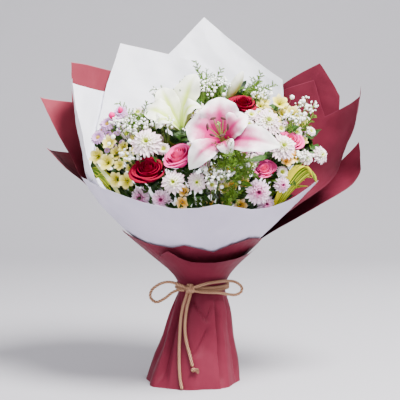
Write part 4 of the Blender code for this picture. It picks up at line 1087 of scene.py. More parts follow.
white_mum = petal_finish("white chrysanthemum", "white_mum", (
    (0.0, (0.5, 0.6, 0.03)), (0.35, (0.8, 0.82, 0.26)), (0.62, (0.88, 0.79, 0.78)),
    (1.0, (0.88, 0.63, 0.73))), disc_colour=(0.5, 0.56, 0.03), shade=-0.5, roughness=0.55, veins=3.0)
pink_mum = petal_finish("pink chrysanthemum", "pink_mum", (
    (0.0, (0.4, 0.03, 0.17)), (0.35, (0.62, 0.17, 0.37)), (0.65, (0.8, 0.48, 0.66)),
    (1.0, (0.88, 0.73, 0.83))), disc_colour=(0.4, 0.04, 0.16), shade=-0.8, roughness=0.55, veins=3.0)
lilac_aster = petal_finish("lilac aster", "lilac_aster", (
    (0.0, (0.26, 0.12, 0.36)), (0.5, (0.46, 0.22, 0.52)), (1.0, (0.68, 0.4, 0.66))),
    disc_colour=(0.6, 0.42, 0.06), roughness=0.55, veins=3.0)
cream_alstroemeria = petal_finish("cream alstroemeria", "cream_alstroemeria", (
    (0.0, (0.2, 0.25, 0.0)), (0.35, (0.48, 0.42, 0.0)), (0.65, (0.64, 0.55, 0.08)),
    (1.0, (0.76, 0.66, 0.32))), streaks=(0.22, 0.03, 0.01), veins=7.0)
salmon_alstroemeria = petal_finish("salmon alstroemeria", "salmon_alstroemeria", (
    (0.0, (0.34, 0.16, 0.0)), (0.35, (0.84, 0.42, 0.0)), (0.65, (0.86, 0.52, 0.08)),
    (1.0, (0.88, 0.74, 0.5))), streaks=(0.3, 0.02, 0.01), veins=7.0)

# %% [markdown]
# ## Where the blooms sit
#
# The blooms face out of one domed cushion. A place is (across, up the slope, out of it), as in
# the solids, so every bloom lands where the photo shows it.

# %% The cushion
CUSHION = np.array([18.0, -25.0, 385.0])
SLOPE = np.array([0.0, 220.0, 170.0]) / math.hypot(220.0, 170.0)
OUTWARD = np.array([0.0, -SLOPE[2], SLOPE[1]])
DOME = (188.0, 139.0, 78.0)      # its half axes: across, up the slope and out
NECK = np.array([NECK_X, 0.0, NECK_Z])
tops = []                        # where each stem ends, and which way its bloom looks
blooms = []                      # centre and radius of each, for what is filled in between


def seat(across, up, out):
    """The place that lies so far across, up the slope and out of the cushion."""
    return CUSHION + np.array([across, 0.0, 0.0]) + SLOPE * up + OUTWARD * out


def facing(across, up, out, front=0.45):
    """Square out of the ellipsoid, turned to the front by the share given."""
    wide, long, high = (axis ** 2 for axis in DOME)
    n = np.array([across / wide, 0, 0]) + SLOPE * up / long + OUTWARD * max(out, 8.0) / high
    return unit(unit(n) * (1 - front) + front * np.array([0.0, -0.94, 0.34]))


green_parts = []                 # calyces, stalks and pistils, all made as one piece below


def calyx(place, look, radius, depth):
    """The green cup under a bloom, from its stem up to the petals."""
    cup_shape = turned(((2.3, -depth - 0.3), (3.0, -depth + 1), (0.24 * radius + 1.5, -0.72 * depth),
                        (0.3 * radius + 1.2, -0.42 * depth), (0.05, -0.3 * depth)), 12)
    a = np.arange(5) * 2 * math.pi / 5
    sepals = petals(petal_ring(a, 0.2 * radius, 0.52 * radius, -0.72 * depth, -0.42 * depth,
                               -0.06 * depth, 0.13 * radius, blunt=1.0), 0.4)
    green_parts.extend([placed(cup_shape, place, look), placed(sepals, place, look)])


def rooted(place, look, depth, radius):
    """Notes where the stem ends, 0.3 mm behind the bloom, and the room that the bloom takes."""
    tops.append((place - look * (depth + 0.3), look))
    blooms.append((*place, radius))


print("the cushion's middle looks along", facing(0, 0, DOME[2]).round(2).tolist())

# %% [markdown]
# Each rose and chrysanthemum has its own stem. The roses' heads are turned a little further,
# each to where the photo shows its eye, while the green cup stays in line with the stem.

# %% Roses and chrysanthemums in place
ROSES = (                        # name, finish, place, radius, and where the head turns to
    ("rose_red_front", red_rose, (-83, -113, 34), 30, (-0.08, -0.62, 0.78)),
    ("rose_pink_left", pink_rose, (-34, -99, 54), 27, (-0.4, -0.55, 0.72)),
    ("rose_red_top", red_rose, (63, 18, 66), 24, (0.1, -0.5, 0.85)),
    ("rose_pink_right", pink_rose, (136, -46, 42), 22, (0.15, -0.7, 0.7)),
    ("rose_pink_low", pink_rose, (96, -98, 24), 19, (-0.05, -0.68, 0.72)))
for k, (name, material, where, radius, eye) in enumerate(ROSES):
    place, look, depth = seat(*where), facing(*where), 1.05 * radius
    eye = unit(eye)
    head = placed(rose_petals(radius, 0.7 * k, k), place + (eye - look) * 0.45 * depth, eye)
    add_piece(name + "_visual", [head], material, [name])
    calyx(place, look, radius, depth)
    rooted(place, look, depth, radius)

MUMS = (                         # name, place and radius
    ("mum_white_left", (-83, -82, 64), 26), ("mum_white_mid", (-43, -131, 30), 19),
    ("mum_pink_low_left", (-93, -118, -12), 18), ("mum_pink_low_mid", (-61, -133, -2), 17),
    ("mum_pink_low_right", (83, -130, 10), 21), ("mum_pink_rim_right", (97, -112, -30), 15),
    ("mum_pink_mid_right", (121, -103, 0), 14), ("mum_white_top_right", (100, -32, 64), 23),
    ("mum_white_right", (121, -74, 50), 23), ("mum_white_front", (-8, -127, 26), 16))
for k, (name, where, radius) in enumerate(MUMS):
    place, look, depth = seat(*where), facing(*where), 0.55 * radius
    head = placed(mum_head(radius, 40 + k), place, look, 0.21 * k)
    add_piece(name + "_visual", [head], pink_mum if "pink" in name else white_mum, [name])
    calyx(place, look, radius, depth)
    rooted(place, look, depth, radius)
print("roses and chrysanthemums,", sum(TRIANGLES.values()), "triangles so far")

# %% [markdown]
# ## Lilies
#
# The pink lily is the largest bloom. Its six tepals differ in length and droop, as the photo
# shows, so each is given by its own angle, length, width and drop.

# %% Lilies
LILY_PINK = ((160, 57, 26, 12), (94, 59, 26, 2), (38, 50, 17, 4), (-10, 90, 19, 12),
             (-62, 34, 12, 12), (228, 68, 17, 16))
LILY_WHITE = ((28, 42, 15, 4), (79, 75, 21, -14), (130, 60, 16, -12), (176, 54, 20, 2), (228, 36, 14, 6))


def lily(name, material, tepals, where, look, depth, rise, low, radius):
    """One lily: its tepals, and its green ovary, turned from the stem's end up to its tip."""
    place, look = seat(*where), unit(look)
    add_piece(name + "_visual", [placed(lily_tepals(tepals, depth, rise), place, look)], material, [name])
    ovary = turned([(r, -z) for r, z in zip((2.3, 3.4, 5.8, 6.6, 0.3), (depth + 0.3, *low))])
    green_parts.append(placed(ovary, place, look))
    rooted(place, look, depth, radius)
    return place, look


place, look = lily("lily_pink", pink_lily, LILY_PINK, (28, -89, 83), (-0.14, -0.9, 0.36), 46.0, 16.0,
                   (40, 24, 16, 10), 44)
print("the pink lily has", len(LILY_PINK), "tepals")

# %% [markdown]
# Six anthers hang crosswise on their filaments, and the pistil ends in three lobes.

# %% Stamens of the pink lily
anther_brown = Finish("anther brown", "pink_lily", roughness=0.8)
grain = anther_brown.noise(900.0)
anther_brown.feed(Base_Color=anther_brown.mix(grain.between(0.3, 0.7), (0.035, 0.006, 0.01),
                                              (0.09, 0.022, 0.018)))
anther_brown.relief(grain, 0.0004)

a = np.arange(6)[:, None] * math.pi / 3
t = np.linspace(0, 1, 9)[None]
reach = 1.5 + 13.5 * t ** 1.3
filaments = np.stack([reach * np.cos(a), reach * np.sin(a), -9.2 + 49.2 * t + 0 * a], -1)
across = np.stack([-np.sin(a[:, 0]), np.cos(a[:, 0]), 0.5 * np.cos(3 * a[:, 0])], 1)
s = np.linspace(-1, 1, 7)[None, :, None]
anthers = filaments[:, -1:] + unit(across)[:, None] * s * 5.6 + np.array([0, 0, 1.0]) * (1 - s ** 2)
pistil = np.stack([2.0 * t[0], 3.0 * t[0], -9.2 + 56.2 * t[0]], -1)
lobes = petal_ring(np.arange(3) * 2.094, 0.3, 3.2, 0.0, 0.8, 0.5, 1.5, rows=5)
for solid in (rods(filaments, np.linspace(1.0, 0.7, 9), 6, (0, 0.2, 0.1), 0.9),
              rods(pistil, np.linspace(1.3, 1.6, 9), 8, (0, 1, 0.1), 0.8),
              petals(lobes + pistil[-1], 1.0, 0.8)):
    green_parts.append(placed(solid, place, look))
anthers = rods(anthers, 2.0 * np.sqrt(1.06 - s[0, :, 0] ** 2), 7, (0.1, 0.2, 1.0))
add_piece("lily_anthers", [placed(anthers, place, look)], anther_brown.material)
print("six anthers,", TRIANGLES["lily_anthers"], "triangles")

# %% [markdown]
# The white lily is half open and looks up to the left. The bud beside it is still closed: a
# rod with three soft lobes, where its outer tepals meet.

# %% White lily and bud
lily("lily_white", white_lily, LILY_WHITE, (-36, -38, 68), (-0.3, -0.6, 0.74), 40.0, 26.0, (34, 20, 14, 8),
     34)
place, look = seat(50, 44, 74), unit((0.45, -0.35, 0.8))
z = np.linspace(-26, 30, 20)
swell = np.interp(z, (-26, -18, -8, 4, 16, 25, 30), (1.6, 4.6, 7.4, 8.3, 7.2, 4.2, 1.2))
lobes = 1 + 0.07 * np.cos(3 * np.arange(24) * 2 * math.pi / 24)[None] + 0 * z[:, None]
bud = rods(np.stack([0 * z, 0 * z, z], -1), swell, 24, (0, 1, 0), 0.6, lobes)
add_piece("lily_bud_visual", [placed(bud, place, look)], white_lily, ["lily_bud"])
rooted(place, look, 26.0, 14)
print("two lilies and a bud")

# %% [markdown]
# ## Sprays
#
# A spray is several heads whose stalks leave one fork. Each stalk is a curve that starts along
# the stem and ends square under its head.

# %% Sprays
def stalk(start, end, start_way, end_way, radius, steps=9, sides=5):
    """A rod on the cubic (Hermite) curve from start to end with the two headings."""
    t = np.linspace(0, 1, steps)[:, None]
    size = np.linalg.norm(end - start)
    a, b = np.asarray(start_way) * size, np.asarray(end_way) * size
    path = (2 * t ** 3 - 3 * t ** 2 + 1) * start + (t ** 3 - 2 * t ** 2 + t) * a \
        + (3 * t ** 2 - 2 * t ** 3) * end + (t ** 3 - t ** 2) * b
    return rods(path, np.linspace(radius, 0.8 * radius, steps), sides, ASIDE)


def fork_of(places, pull):
    """The fork, between the heads' middle and the tie, and the stem's end 12 mm below it."""
    middle = np.mean(places, axis=0)
    fork = middle + (NECK - middle) * pull
    return fork, unit(NECK - fork)


SPRAYS = (                       # name, finish, heads (place and radius), maker, depth over radius
    ("mum_spray_right", white_mum, ((184, -32, 0, 16), (160, -62, 18, 12)), mum_head, 0.55),
    ("aster_lilac_left", lilac_aster, ((-160, -36, 38, 13), (-146, -20, 52, 13), (-126, -6, 64, 12)),
     ray_head, 0.6),
    ("alstroemeria_left_upper", cream_alstroemeria,
     ((-146, -80, 26, 14), (-163, -56, 18, 13), (-142, -54, 44, 12)), funnel_head, 0.95),
    ("alstroemeria_left_lower", cream_alstroemeria, ((-132, -98, 6, 13), (-115, -110, 14, 13)),
     funnel_head, 0.95),
    ("alstroemeria_front", salmon_alstroemeria,
     ((-30, -138, -6, 11), (-10, -140, -20, 10), (11, -141, -10, 11)), funnel_head, 0.95),
    ("alstroemeria_low_right", salmon_alstroemeria, ((58, -134, -14, 11), (37, -139, -8, 9)),
     funnel_head, 0.95),
    ("alstroemeria_right", cream_alstroemeria, ((142, 4, 56, 13), (122, 24, 62, 14)), funnel_head, 0.95))
for number, (name, material, heads, maker, deep) in enumerate(SPRAYS):
    places = [seat(*head[:3]) for head in heads]
    fork, down = fork_of(places, 0.22)
    solids = []
    for k, (head, place) in enumerate(zip(heads, places)):
        look = facing(*head[:3])
        solids.append(placed(maker(head[3], 100 + 10 * number + k), place, look, 0.5 * k))
        foot = place - look * deep * head[3]
        green_parts.append(stalk(fork, foot + look * 2, -down, look, 1.1))
        blooms.append((*place, head[3]))
    joint = [fork + down * 12, fork + down * 6, fork, fork - down * 3]
    green_parts.append(rods(joint, (2.0, 2.0, 1.8, 0.9), 8, ASIDE))
    add_piece(name + "_visual", solids, material, [name])
    tops.append((fork + down * 12.3, -down))
print(len(SPRAYS), "sprays")

# %% [markdown]
# Gypsophila is a haze of tiny double blooms on hair-thin branches. There are hundreds, so each
# is a bumpy ball of thirty-odd triangles, and each head of the solid becomes a small tuft.

# %% Gypsophila
TINY_ACROSS = (0.31, 0.52, 0.11)  # where the rings of balls and buds start


def tiny_balls(centres, radii, seed):
    """Six-sided balls whose rings bulge in and out by turns, each turned at random."""
    rng = np.random.default_rng(seed)
    count = len(centres)
    axis = unit(rng.normal(size=(count, 3)) + [0, -0.5, 0.8])
    z = np.array([-0.9, -0.35, 0.35, 0.9])
    path = centres[:, None] + axis[:, None] * (z[None, :, None] * radii[:, None, None])
    size = np.array([0.3, 1.0, 0.92, 0.35])[None] * radii[:, None]
    lobes = 1 + 0.22 * np.cos(3 * np.arange(6) * math.pi / 3)[None] * np.array([1, 1, -1, -1])[:, None]
    return rods(path, size, 6, TINY_ACROSS, 0.4 + 0.6 * rng.random(count), lobes)


def gyps_cloud(heads, fork, seed, tufts=7, reach=7.5):
    """Around each head a tuft of florets, branched off its stalk just below it."""
    rng = np.random.default_rng(seed)
    heads = np.array(heads)
    shift = rng.normal(size=(len(heads), tufts, 3)) * reach * 0.55
    shift[:, 0] = 0
    ends = heads[:, None] + shift
    branch = heads - unit(heads - fork) * 12.0
    t = np.linspace(0, 1, 4)[None, None, :, None]
    twigs = branch[:, None, None] * (1 - t) + ends[:, :, None] * t + np.array([0, 0, 1.4]) * t * (1 - t) * 2
    balls = tiny_balls(ends.reshape(-1, 3), rng.uniform(1.3, 2.3, ends.shape[0] * tufts), seed)
    green_parts.append(rods(twigs.reshape(-1, 4, 3), 0.28, 3, ASIDE, 0.3))
    t = np.linspace(0, 1, 6)[None, :, None]
    way = fork * (1 - t) + branch[:, None] * t
    way = way + unit(heads - fork)[:, None] * 3.0 * np.sin(math.pi * t)
    green_parts.append(rods(way, np.linspace(0.7, 0.35, 6), 4, ASIDE, 0.35))
    return balls


print("a floret has", len(tiny_balls(np.zeros((1, 3)), np.ones(1), 0)[1]), "triangles")

# %% [markdown]
# Each cloud's heads lie in a spiral, drawn in the same order as for the solids.

# %% The four clouds
draw = random.Random(5)
CLOUDS = (                       # name, middle, reach and number of tufts
    ("gypsophila_left", (-100, -44, 70), 22, 10), ("gypsophila_front", (24, -128, 42), 22, 10),
    ("gypsophila_right", (160, 30, 44), 20, 9), ("gypsophila_top", (6, 34, 84), 18, 8))
for number, (name, middle, reach, count) in enumerate(CLOUDS):
    heads = []
    for k in range(count):
        a, r = 2.4 * k, reach * math.sqrt((k + 0.5) / count)
        heads.append(seat(middle[0] + r * math.cos(a), middle[1] + r * math.sin(a) * 0.8,
                          middle[2] + draw.uniform(-4, 6)))
        draw.uniform(2.6, 3.4)   # the solids draw a radius here, and the next place must be theirs
    fork, down = fork_of(heads, 0.24)
    add_piece(name + "_visual", [gyps_cloud(heads, fork, 60 + number)], gypsophila, [name])
    green_parts.append(rods([fork + down * 12, fork + down * 6, fork], (2.0, 1.8, 0.9), 6, ASIDE))
    tops.append((fork + down * 12.3, -down))
print("lilies, sprays and gypsophila,", sum(TRIANGLES.values()), "triangles so far")
# %% [markdown]
# ## Leaves
#
# A leaf is a path with a width on each side of it. The blade is folded along its midrib and
# waves at its edge. The same function makes the broad leaves, the long striped grass and the
# many small leaves that fill the bouquet, since all of them differ only in numbers.

# %% Leaf shapes
BROAD = ((0, 0.08), (0.08, 0.36), (0.25, 0.8), (0.45, 1.0), (0.65, 0.88), (0.85, 0.46), (0.96, 0.14),
         (1, 0.03))              # half widths along a leaf
SLIM = ((0, 0.3), (0.12, 0.62), (0.3, 0.9), (0.55, 1.0), (0.8, 0.66), (0.95, 0.22), (1, 0.03))


def leaves(start, heading, length, bend, side, half, shape=BROAD, rows=12, columns=5, fold=-0.25,
           wave=0.08, thickness=0.35, tone=0.5):
    """p(t, v) = start + heading L t + bend t^2 + side w v + face (fold (1 - |v|) w + ripple)."""
    start, bend = np.atleast_2d(start).astype(float), np.atleast_2d(bend).astype(float)
    count = len(start)
    heading, side = unit(np.atleast_2d(heading)), unit(np.atleast_2d(side))
    length, half = (np.broadcast_to(np.asarray(c, float), (count,))[:, None, None] for c in (length, half))
    t = np.linspace(0, 1, rows)[None, :, None]
    path = start[:, None] + heading[:, None] * length * t + bend[:, None] * t ** 2
    face = unit(np.cross(side[:, None], unit(np.gradient(path, axis=1))))
    v = np.linspace(-1, 1, columns)[None, None, :, None]
    w = (half * np.interp(t, *np.array(shape).T))[:, :, None]
    t = t[..., None]
    ripple = wave * half[..., None] * np.sin(11 * t + 4 * np.arange(count)[:, None, None, None]) \
        * np.abs(v) * v * 1.5 * smooth(t / 0.2) * smooth((1.02 - t) / 0.2)
    points = path[:, :, None] + side[:, None, None] * w * v \
        + face[:, :, None] * (fold * (1 - np.abs(v)) * w + ripple)
    return petals(points, thickness, tone)


print("a leaf has", len(leaves((0, 0, 0), (0, 0, 1), 30, (0, 0, 0), (1, 0, 0), 6)[1]), "triangles")

# %% [markdown]
# A blade has a pale midrib, and side veins that slant to its tip and lie a little sunk. The
# striped grass is a green blade with yellow lines and a yellow edge. Its tone picks the two odd
# ones out: the lowest is all yellow, and the highest shows the cream back of a leaf.

# %% Leaf finishes
def leaf_finish(name, low, high, rib, roughness=0.36):
    """Two greens in clouds, with the midrib and the slanting veins in the rib's colour."""
    made = Finish(name, "dark_leaf", roughness=roughness, Specular_IOR_Level=0.3)
    sides, along, tone = made.surface()
    off = abs(sides - 0.5) * 2.0
    cloud = made.noise(70.0)
    colour = made.mix(cloud.between(0.25, 0.75) * 0.6 + tone * 0.4, low, high)
    line = 1.0 - made.waves(along * 9.0 - off * 1.6).between(0.0, 0.16)
    middle = 1.0 - off.between(0.02, 0.1)
    made.feed(Base_Color=made.mix(line * 0.22 + middle * 0.6, colour, rib))
    made.relief(1.0 - line * 0.7 - middle + cloud * 0.3, 0.0005, 0.7)
    return made.material


dark_leaf = leaf_finish("dark leaf", (0.012, 0.04, 0.006), (0.034, 0.092, 0.012), (0.1, 0.19, 0.03))
fresh_leaf = leaf_finish("fresh leaf", (0.034, 0.1, 0.005), (0.1, 0.205, 0.012), (0.22, 0.33, 0.04),
                         0.42)

striped = Finish("striped grass", "striped_grass", roughness=0.4, Specular_IOR_Level=0.2)
sides, along, tone = striped.surface()
off = abs(sides - 0.5) * 2.0
lines = striped.noise(1.0, 1.0, 0.5, striped.node("CombineXYZ", {0: sides * 4.5, 1: along * 0.5,
                                                                 2: tone * 40.0}))
colour = striped.mix(lines.between(0.46, 0.54), (0.075, 0.2, 0.003), (0.66, 0.66, 0.04))
colour = striped.mix(off.between(0.8, 0.9), colour, (0.66, 0.66, 0.03))
colour = striped.mix(1.0 - tone.between(0.04, 0.08), colour, (0.7, 0.61, 0.0))
striped.feed(Base_Color=striped.mix(tone.between(0.94, 0.97), colour, (0.6, 0.64, 0.26)))
striped.relief(striped.waves(sides * 11.0), 0.0003, 0.7)
print("striped grass,", len(striped.tree.nodes), "nodes")

# %% [markdown]
# Three broad leaves and two bundles of grass are tied in among the blooms. Grass of this kind is
# bent over into a loop, so its blades rise and then fall back outward.

# %% Leaves and grass in place
LEAVES = (                       # foot, then for each blade its heading, length, bend, half width and side
    ("leaves_left", (14, -64, 392), (
        ((-0.5, -0.86, 0.0), 50, (-4, 0, 2), 9, (0.6, -0.35, 0.7)),
        ((0.05, 0.2, 0.95), 62, (-12, 2, 2), 9, (0.95, 0.2, 0.2)))),
    ("leaf_right", (98, -92, 368), (((0.6, -0.78, 0.1), 31, (8, 2, -4), 6, (0.3, 0.3, 0.9)),)),
    ("grass_left", (-99, -52, 300), (
        ((-16, -12, 100), 76, (-28, -2, -54), 5, (0.5, -0.5, 0.7)),
        ((-2, -26, 90), 72, (-22, -4, -48), 5, (0.5, -0.5, 0.7)),
        ((-34, -2, 80), 50, (-12, 6, -26), 4, (0.5, -0.5, 0.7)))),
    ("grass_right", (106, -53, 268), (
        ((50, -30, 160), 160, (36, 16, -88), 6, (0.5, 0.5, -0.7)),
        ((30, -36, 150), 158, (40, 12, -92), 6, (0.5, 0.5, -0.7)),
        ((53, -15, 107), 120, (24, 12, -58), 6, (0.5, 0.5, -0.7)),
        ((16, -44, 120), 118, (30, 4, -64), 5, (0.5, 0.5, -0.7)))))
leaf_tops = []
for name, foot, blades in LEAVES:
    foot, first = np.array(foot, float), unit(blades[0][0])
    heading, length, bend, half, side = (np.array(c, float) for c in zip(*blades))
    grass = name.startswith("grass")
    solid = leaves(np.repeat(foot[None], len(blades), 0), heading, length, bend, side, half,
                   SLIM if grass else BROAD, rows=34 if grass else 22, columns=7, thickness=0.5,
                   wave=0.03 if grass else 0.1, tone=np.linspace(0.2, 0.9, len(blades)))
    add_piece(name + "_visual", [solid], striped.material if grass else dark_leaf, [name])
    joint = [foot - first * 8, foot - first * 2, foot + first * 5]
    green_parts.append(rods(joint, (2.0, 1.9, 1.0), 8, ASIDE))
    leaf_tops.append((foot - first * 8.3, first))
print(len(LEAVES), "bunches of leaves")

# %% [markdown]
# ## Asparagus fern
#
# Its feathery fronds are axes with side twigs, and each twig carries a brush of needles. All
# the needles of a fern are one array of thin spikes with four faces each.

# %% Needles and fronds
def spikes(base, tip, width, tone):
    """Spikes of four faces: corners base + w (cos a, sin a), a = 0, 120, 240 degrees, and the tip."""
    way = unit(tip - base)
    side = unit(np.cross(way, [0.31, 0.83, 0.2]))
    a = (np.arange(3) * 2 * math.pi / 3)[:, None]
    corners = base[:, None] + width * (np.cos(a) * side[:, None] + np.sin(a) * np.cross(way, side)[:, None])
    verts = np.concatenate([corners, tip[:, None]], 1).reshape(-1, 3)
    faces = np.array([(0, 2, 1), (0, 1, 3), (1, 2, 3), (2, 0, 3)])
    uv = np.tile([(0, 0), (0.5, 0), (1, 0), (0.5, 1)], (len(base), 1))
    return verts, copies(faces, len(base), 4), uv, spread(tone, len(base), 4)


def frond(start, heading, length, bend, reach, seed, twigs=20, needles=26):
    """Twigs leave the axis at golden angles and shorten to the tip, reach (1.1 - 0.7 s)."""
    rng = np.random.default_rng(seed)
    heading, bend = unit(heading), np.asarray(bend, float)
    s = np.linspace(0.16, 1.0, twigs)
    foot = start + np.outer(s * length, heading) + np.outer(s ** 2, bend)
    along = unit(heading * length + 2 * bend * s[:, None])
    aside = unit(np.cross(along, [0.3, 0.2, 0.93]))
    a = GOLDEN * np.arange(twigs)[:, None]
    out = np.cos(a) * aside + np.sin(a) * np.cross(along, aside)
    size = (reach * (1.1 - 0.7 * s) * rng.uniform(0.75, 1.1, twigs))[:, None]
    way = unit(out * 0.8 + along * 0.6)
    q = np.linspace(0.1, 1.0, needles)[None, :, None]
    base = foot[:, None] + way[:, None] * size[:, None] * q
    side = unit(np.cross(way, rng.normal(size=(twigs, 3))))[:, None]
    b = GOLDEN * np.arange(needles)[None, :, None] + rng.uniform(0, 6, (twigs, 1, 1))
    around = np.cos(b) * side + np.sin(b) * np.cross(way[:, None], side)
    needle = unit(0.85 * around + 0.75 * way[:, None])
    long = 0.4 * size[:, None] * (1.08 - 0.55 * q) * rng.uniform(0.7, 1.15, (twigs, needles, 1))
    k = np.linspace(0, 1, 9)[:, None]
    axis = start + heading * length * k + bend * k ** 2
    return [rods(axis, np.linspace(1.1, 0.45, 9), 5, ASIDE, 0.2),
            spikes(foot, foot + way * size, 0.55, 0.3),
            spikes(base.reshape(-1, 3), (base + needle * long).reshape(-1, 3), 0.58,
                   0.35 + 0.65 * rng.random(twigs * needles))]


print("a frond has", len(joined(frond((0, 0, 0), (0, 0, 1), 50, (0, 0, 0), 18, 0))[1]), "triangles")

# %% [markdown]
# Six ferns stand where the photo shows feathery tips, and one more behind. The green is
# fresher towards the tips, which have the higher tones.

# %% The ferns
fern_green = Finish("asparagus fern", "fern", roughness=0.6)
sides, along, tone = fern_green.surface()
hue = tone * 0.7 + fern_green.noise(30.0) * 0.3
fern_green.feed(Base_Color=fern_green.ramp(hue, (0.0, (0.024, 0.07, 0.002)), (0.45, (0.085, 0.19, 0.005)),
                                           (1.0, (0.21, 0.33, 0.015))))
fern_green.relief(fern_green.noise(900.0), 0.0002)

FERNS = (                        # foot, then for each frond its heading, length, bend and twigs' reach
    ("fern_top", (22, 24, 446), (
        ((-0.1, -0.05, 1), 62, (-8, -6, 4), 20),
        ((0.35, -0.1, 0.95), 56, (8, -4, 2), 18),
        ((-0.5, -0.2, 0.85), 46, (-8, -6, 0), 16))),
    ("fern_top_right", (92, 12, 440), (
        ((0.2, -0.3, 1), 52, (10, -8, 4), 18),
        ((0.6, -0.1, 0.8), 48, (12, -4, -2), 16))),
    ("fern_left", (-80, -40, 404), (
        ((-0.5, 0.05, 0.85), 48, (-8, 2, 0), 17),
        ((0.2, -0.3, 0.95), 42, (4, -4, 4), 15))),
    ("fern_centre", (72, -108, 336), (
        ((0.1, -0.75, 0.6), 44, (2, -8, 8), 18),
        ((0.25, -0.85, 0.2), 36, (-2, -4, -2), 14))),
    ("fern_low", (66, -98, 306), (((0.0, -0.9, 0.2), 34, (0, -4, -4), 14),)),
    ("fern_right", (168, -46, 392), (((0.35, -0.5, 0.75), 40, (8, -4, 4), 15),)),
    ("fern_back", (18, 62, 436), (
        ((-0.9, 0.1, 0.7), 78, (-20, 4, -14), 20),
        ((0.9, 0.1, 0.7), 78, (20, 4, -14), 20),
        ((0.1, 0.25, 1.0), 44, (0, 8, 0), 18))))
for number, (name, foot, fronds) in enumerate(FERNS):
    foot, first = np.array(foot, float), unit(fronds[0][0])
    solids = [part for k, f in enumerate(fronds) for part in frond(foot, *f, 200 + 10 * number + k)]
    solids.append(rods([foot - first * 6, foot, foot + first * 4], (2.0, 1.9, 1.1), 6, ASIDE, 0.2))
    add_piece(name + "_visual", solids, fern_green.material, [name])
    tops.append((foot - first * 6.3, first))
tops += leaf_tops
print("leaves and ferns,", sum(TRIANGLES.values()), "triangles so far")

# %% [markdown]
# ## Stems
#
# Each bloom's stem runs down its own way through the tie and out to the cut end. Crossing the
# stems in a spiral is what lets a real bouquet stand: seen from above, the feet are turned by
# 40 degrees against the heads. The places in the tie are the blooms' places, pushed apart in
# 80 rounds wherever two stems come closer than the least gap.

# %% Places in the tie
APART = 0.235                    # the least gap between two stems, as a share of the tie's radius
share = np.array([(top[:2] - (NECK_X, -20.0)) / (np.array([190.0, 150.0])
                  * (0.35 + 0.65 * smooth((top[2] - 240.0) / 160.0))) for top, _ in tops])
for _ in range(80):
    gaps = share[:, None] - share[None]
    far = np.linalg.norm(gaps, axis=2) + np.eye(len(share)) * 9
    share += 0.45 * np.einsum("ij,ijk->ik", np.maximum(APART - far, 0) / far, gaps)
    share /= np.maximum(1.0, np.linalg.norm(share, axis=1))[:, None]
print(len(share), "stems round the middle one")

# %% [markdown]
# A stem is a green rod with faint knuckles, and pale where it was cut.

# %% The stems
TIE_REACH, FOOT_REACH, TWIST = 20.6, 46.0, math.radians(40.0)
turning = np.array([[math.cos(TWIST), -math.sin(TWIST)], [math.sin(TWIST), math.cos(TWIST)]])
routes = [np.array([(0, 0, 0), (NECK_X * 0.5, 0, 78), (NECK_X, 0, 157), (NECK_X, 0, 166)], float)]
for (top, look), part in zip(tops, share):
    waist, foot = np.array([NECK_X, 0.0]) + part * TIE_REACH, turning @ part * FOOT_REACH
    routes.append(np.array([(*foot, 0.0), (*waist, 157.0), top - look * 12.0, top]))
lines = []
for route in routes:
    at = np.r_[0, np.cumsum(np.linalg.norm(np.diff(route, axis=0), axis=1))]
    even = np.linspace(0, at[-1], 41)
    dense = np.stack([np.interp(even, at, route[:, k]) for k in range(3)], 1)
    soft = dense.copy()
    soft[1:-1] = 0.25 * dense[:-2] + 0.5 * dense[1:-1] + 0.25 * dense[2:]
    lines.append(soft)
lines = np.array(lines)
knuckle = 1 + 0.1 * np.exp(-(np.linspace(-3.0, 3.0, 41) % 1.0 - 0.5) ** 2 / 0.01)
stem_solid = rods(lines, 2.2 * knuckle, 9, (0.1, 1.0, 0.05), np.linspace(0, 1, len(lines)))
stem_solid[0][:, 2] = np.where(stem_solid[0][:, 2] < 1.5, 0.0, stem_solid[0][:, 2])

stem_green = Finish("stem", "stem", roughness=0.5)
sides, along, tone = stem_green.surface()
cloud = stem_green.noise(40.0)
colour = stem_green.mix(cloud.between(0.25, 0.75) * 0.7 + tone * 0.3, (0.055, 0.13, 0.025),
                        (0.17, 0.3, 0.07))
cut = 1.0 - stem_green.node("SeparateXYZ", {0: stem_green.place}, output=2).between(0.0004, 0.003)
stem_green.feed(Base_Color=stem_green.mix(cut * 0.8, colour, (0.6, 0.64, 0.38)))
stem_green.relief(stem_green.waves(sides * 9.0) * 0.6 + cloud * 0.4, 0.0005)
add_piece("stems_visual", [stem_solid], stem_green.material, ["stems"])
print(len(lines), "stems, cut level at the foot")

# %% [markdown]
# ## Filling in
#
# A real bouquet shows no bare stems from above: small blooms, buds and leaves close every gap.
# They sit between the blooms already placed, a little deeper in the dome, wherever there is
# room, and stay inside the innermost sheet.

# %% Where there is room
rng = np.random.default_rng(12)


def dome(across, up):
    """Height of the cushion's ellipsoid over its own plane."""
    return DOME[2] * np.sqrt(np.maximum(1 - (across / DOME[0]) ** 2 - (up / DOME[1]) ** 2, 0))


def scattered(count, wide, long, start):
    """Even places in an ellipse: r = sqrt((k + 1/2) / n), at golden angles from start."""
    k = np.arange(count)
    r, a = np.sqrt((k + 0.5) / count), GOLDEN * k + start
    return wide * r * np.cos(a), long * r * np.sin(a)


def innermost(degrees, height):
    """Radius of the innermost sheet, from the outer white one and the spacing of the sheets."""
    return cup(degrees, height) - 5 * spacing(height)


def inside(point, margin):
    """Whether a place is in the cup, margin + 5 millimetres from the innermost sheet."""
    x, y, z = point
    limit = innermost(np.degrees(np.arctan2(y, x - NECK_X)), z) - 5.0
    return np.hypot(x - NECK_X, y) < limit - margin


def highest(across):
    """The photo's outline of the flowers: how far up the cushion they reach there."""
    return np.interp(across, (-176, -171, -160, -141, -84, -67, -43, -20, 61, 89, 107, 141, 160, 168, 176),
                     (-40, -22, 0, 17, 21, 48, 78, 88, 88, 80, 52, 58, 48, 30, -20))


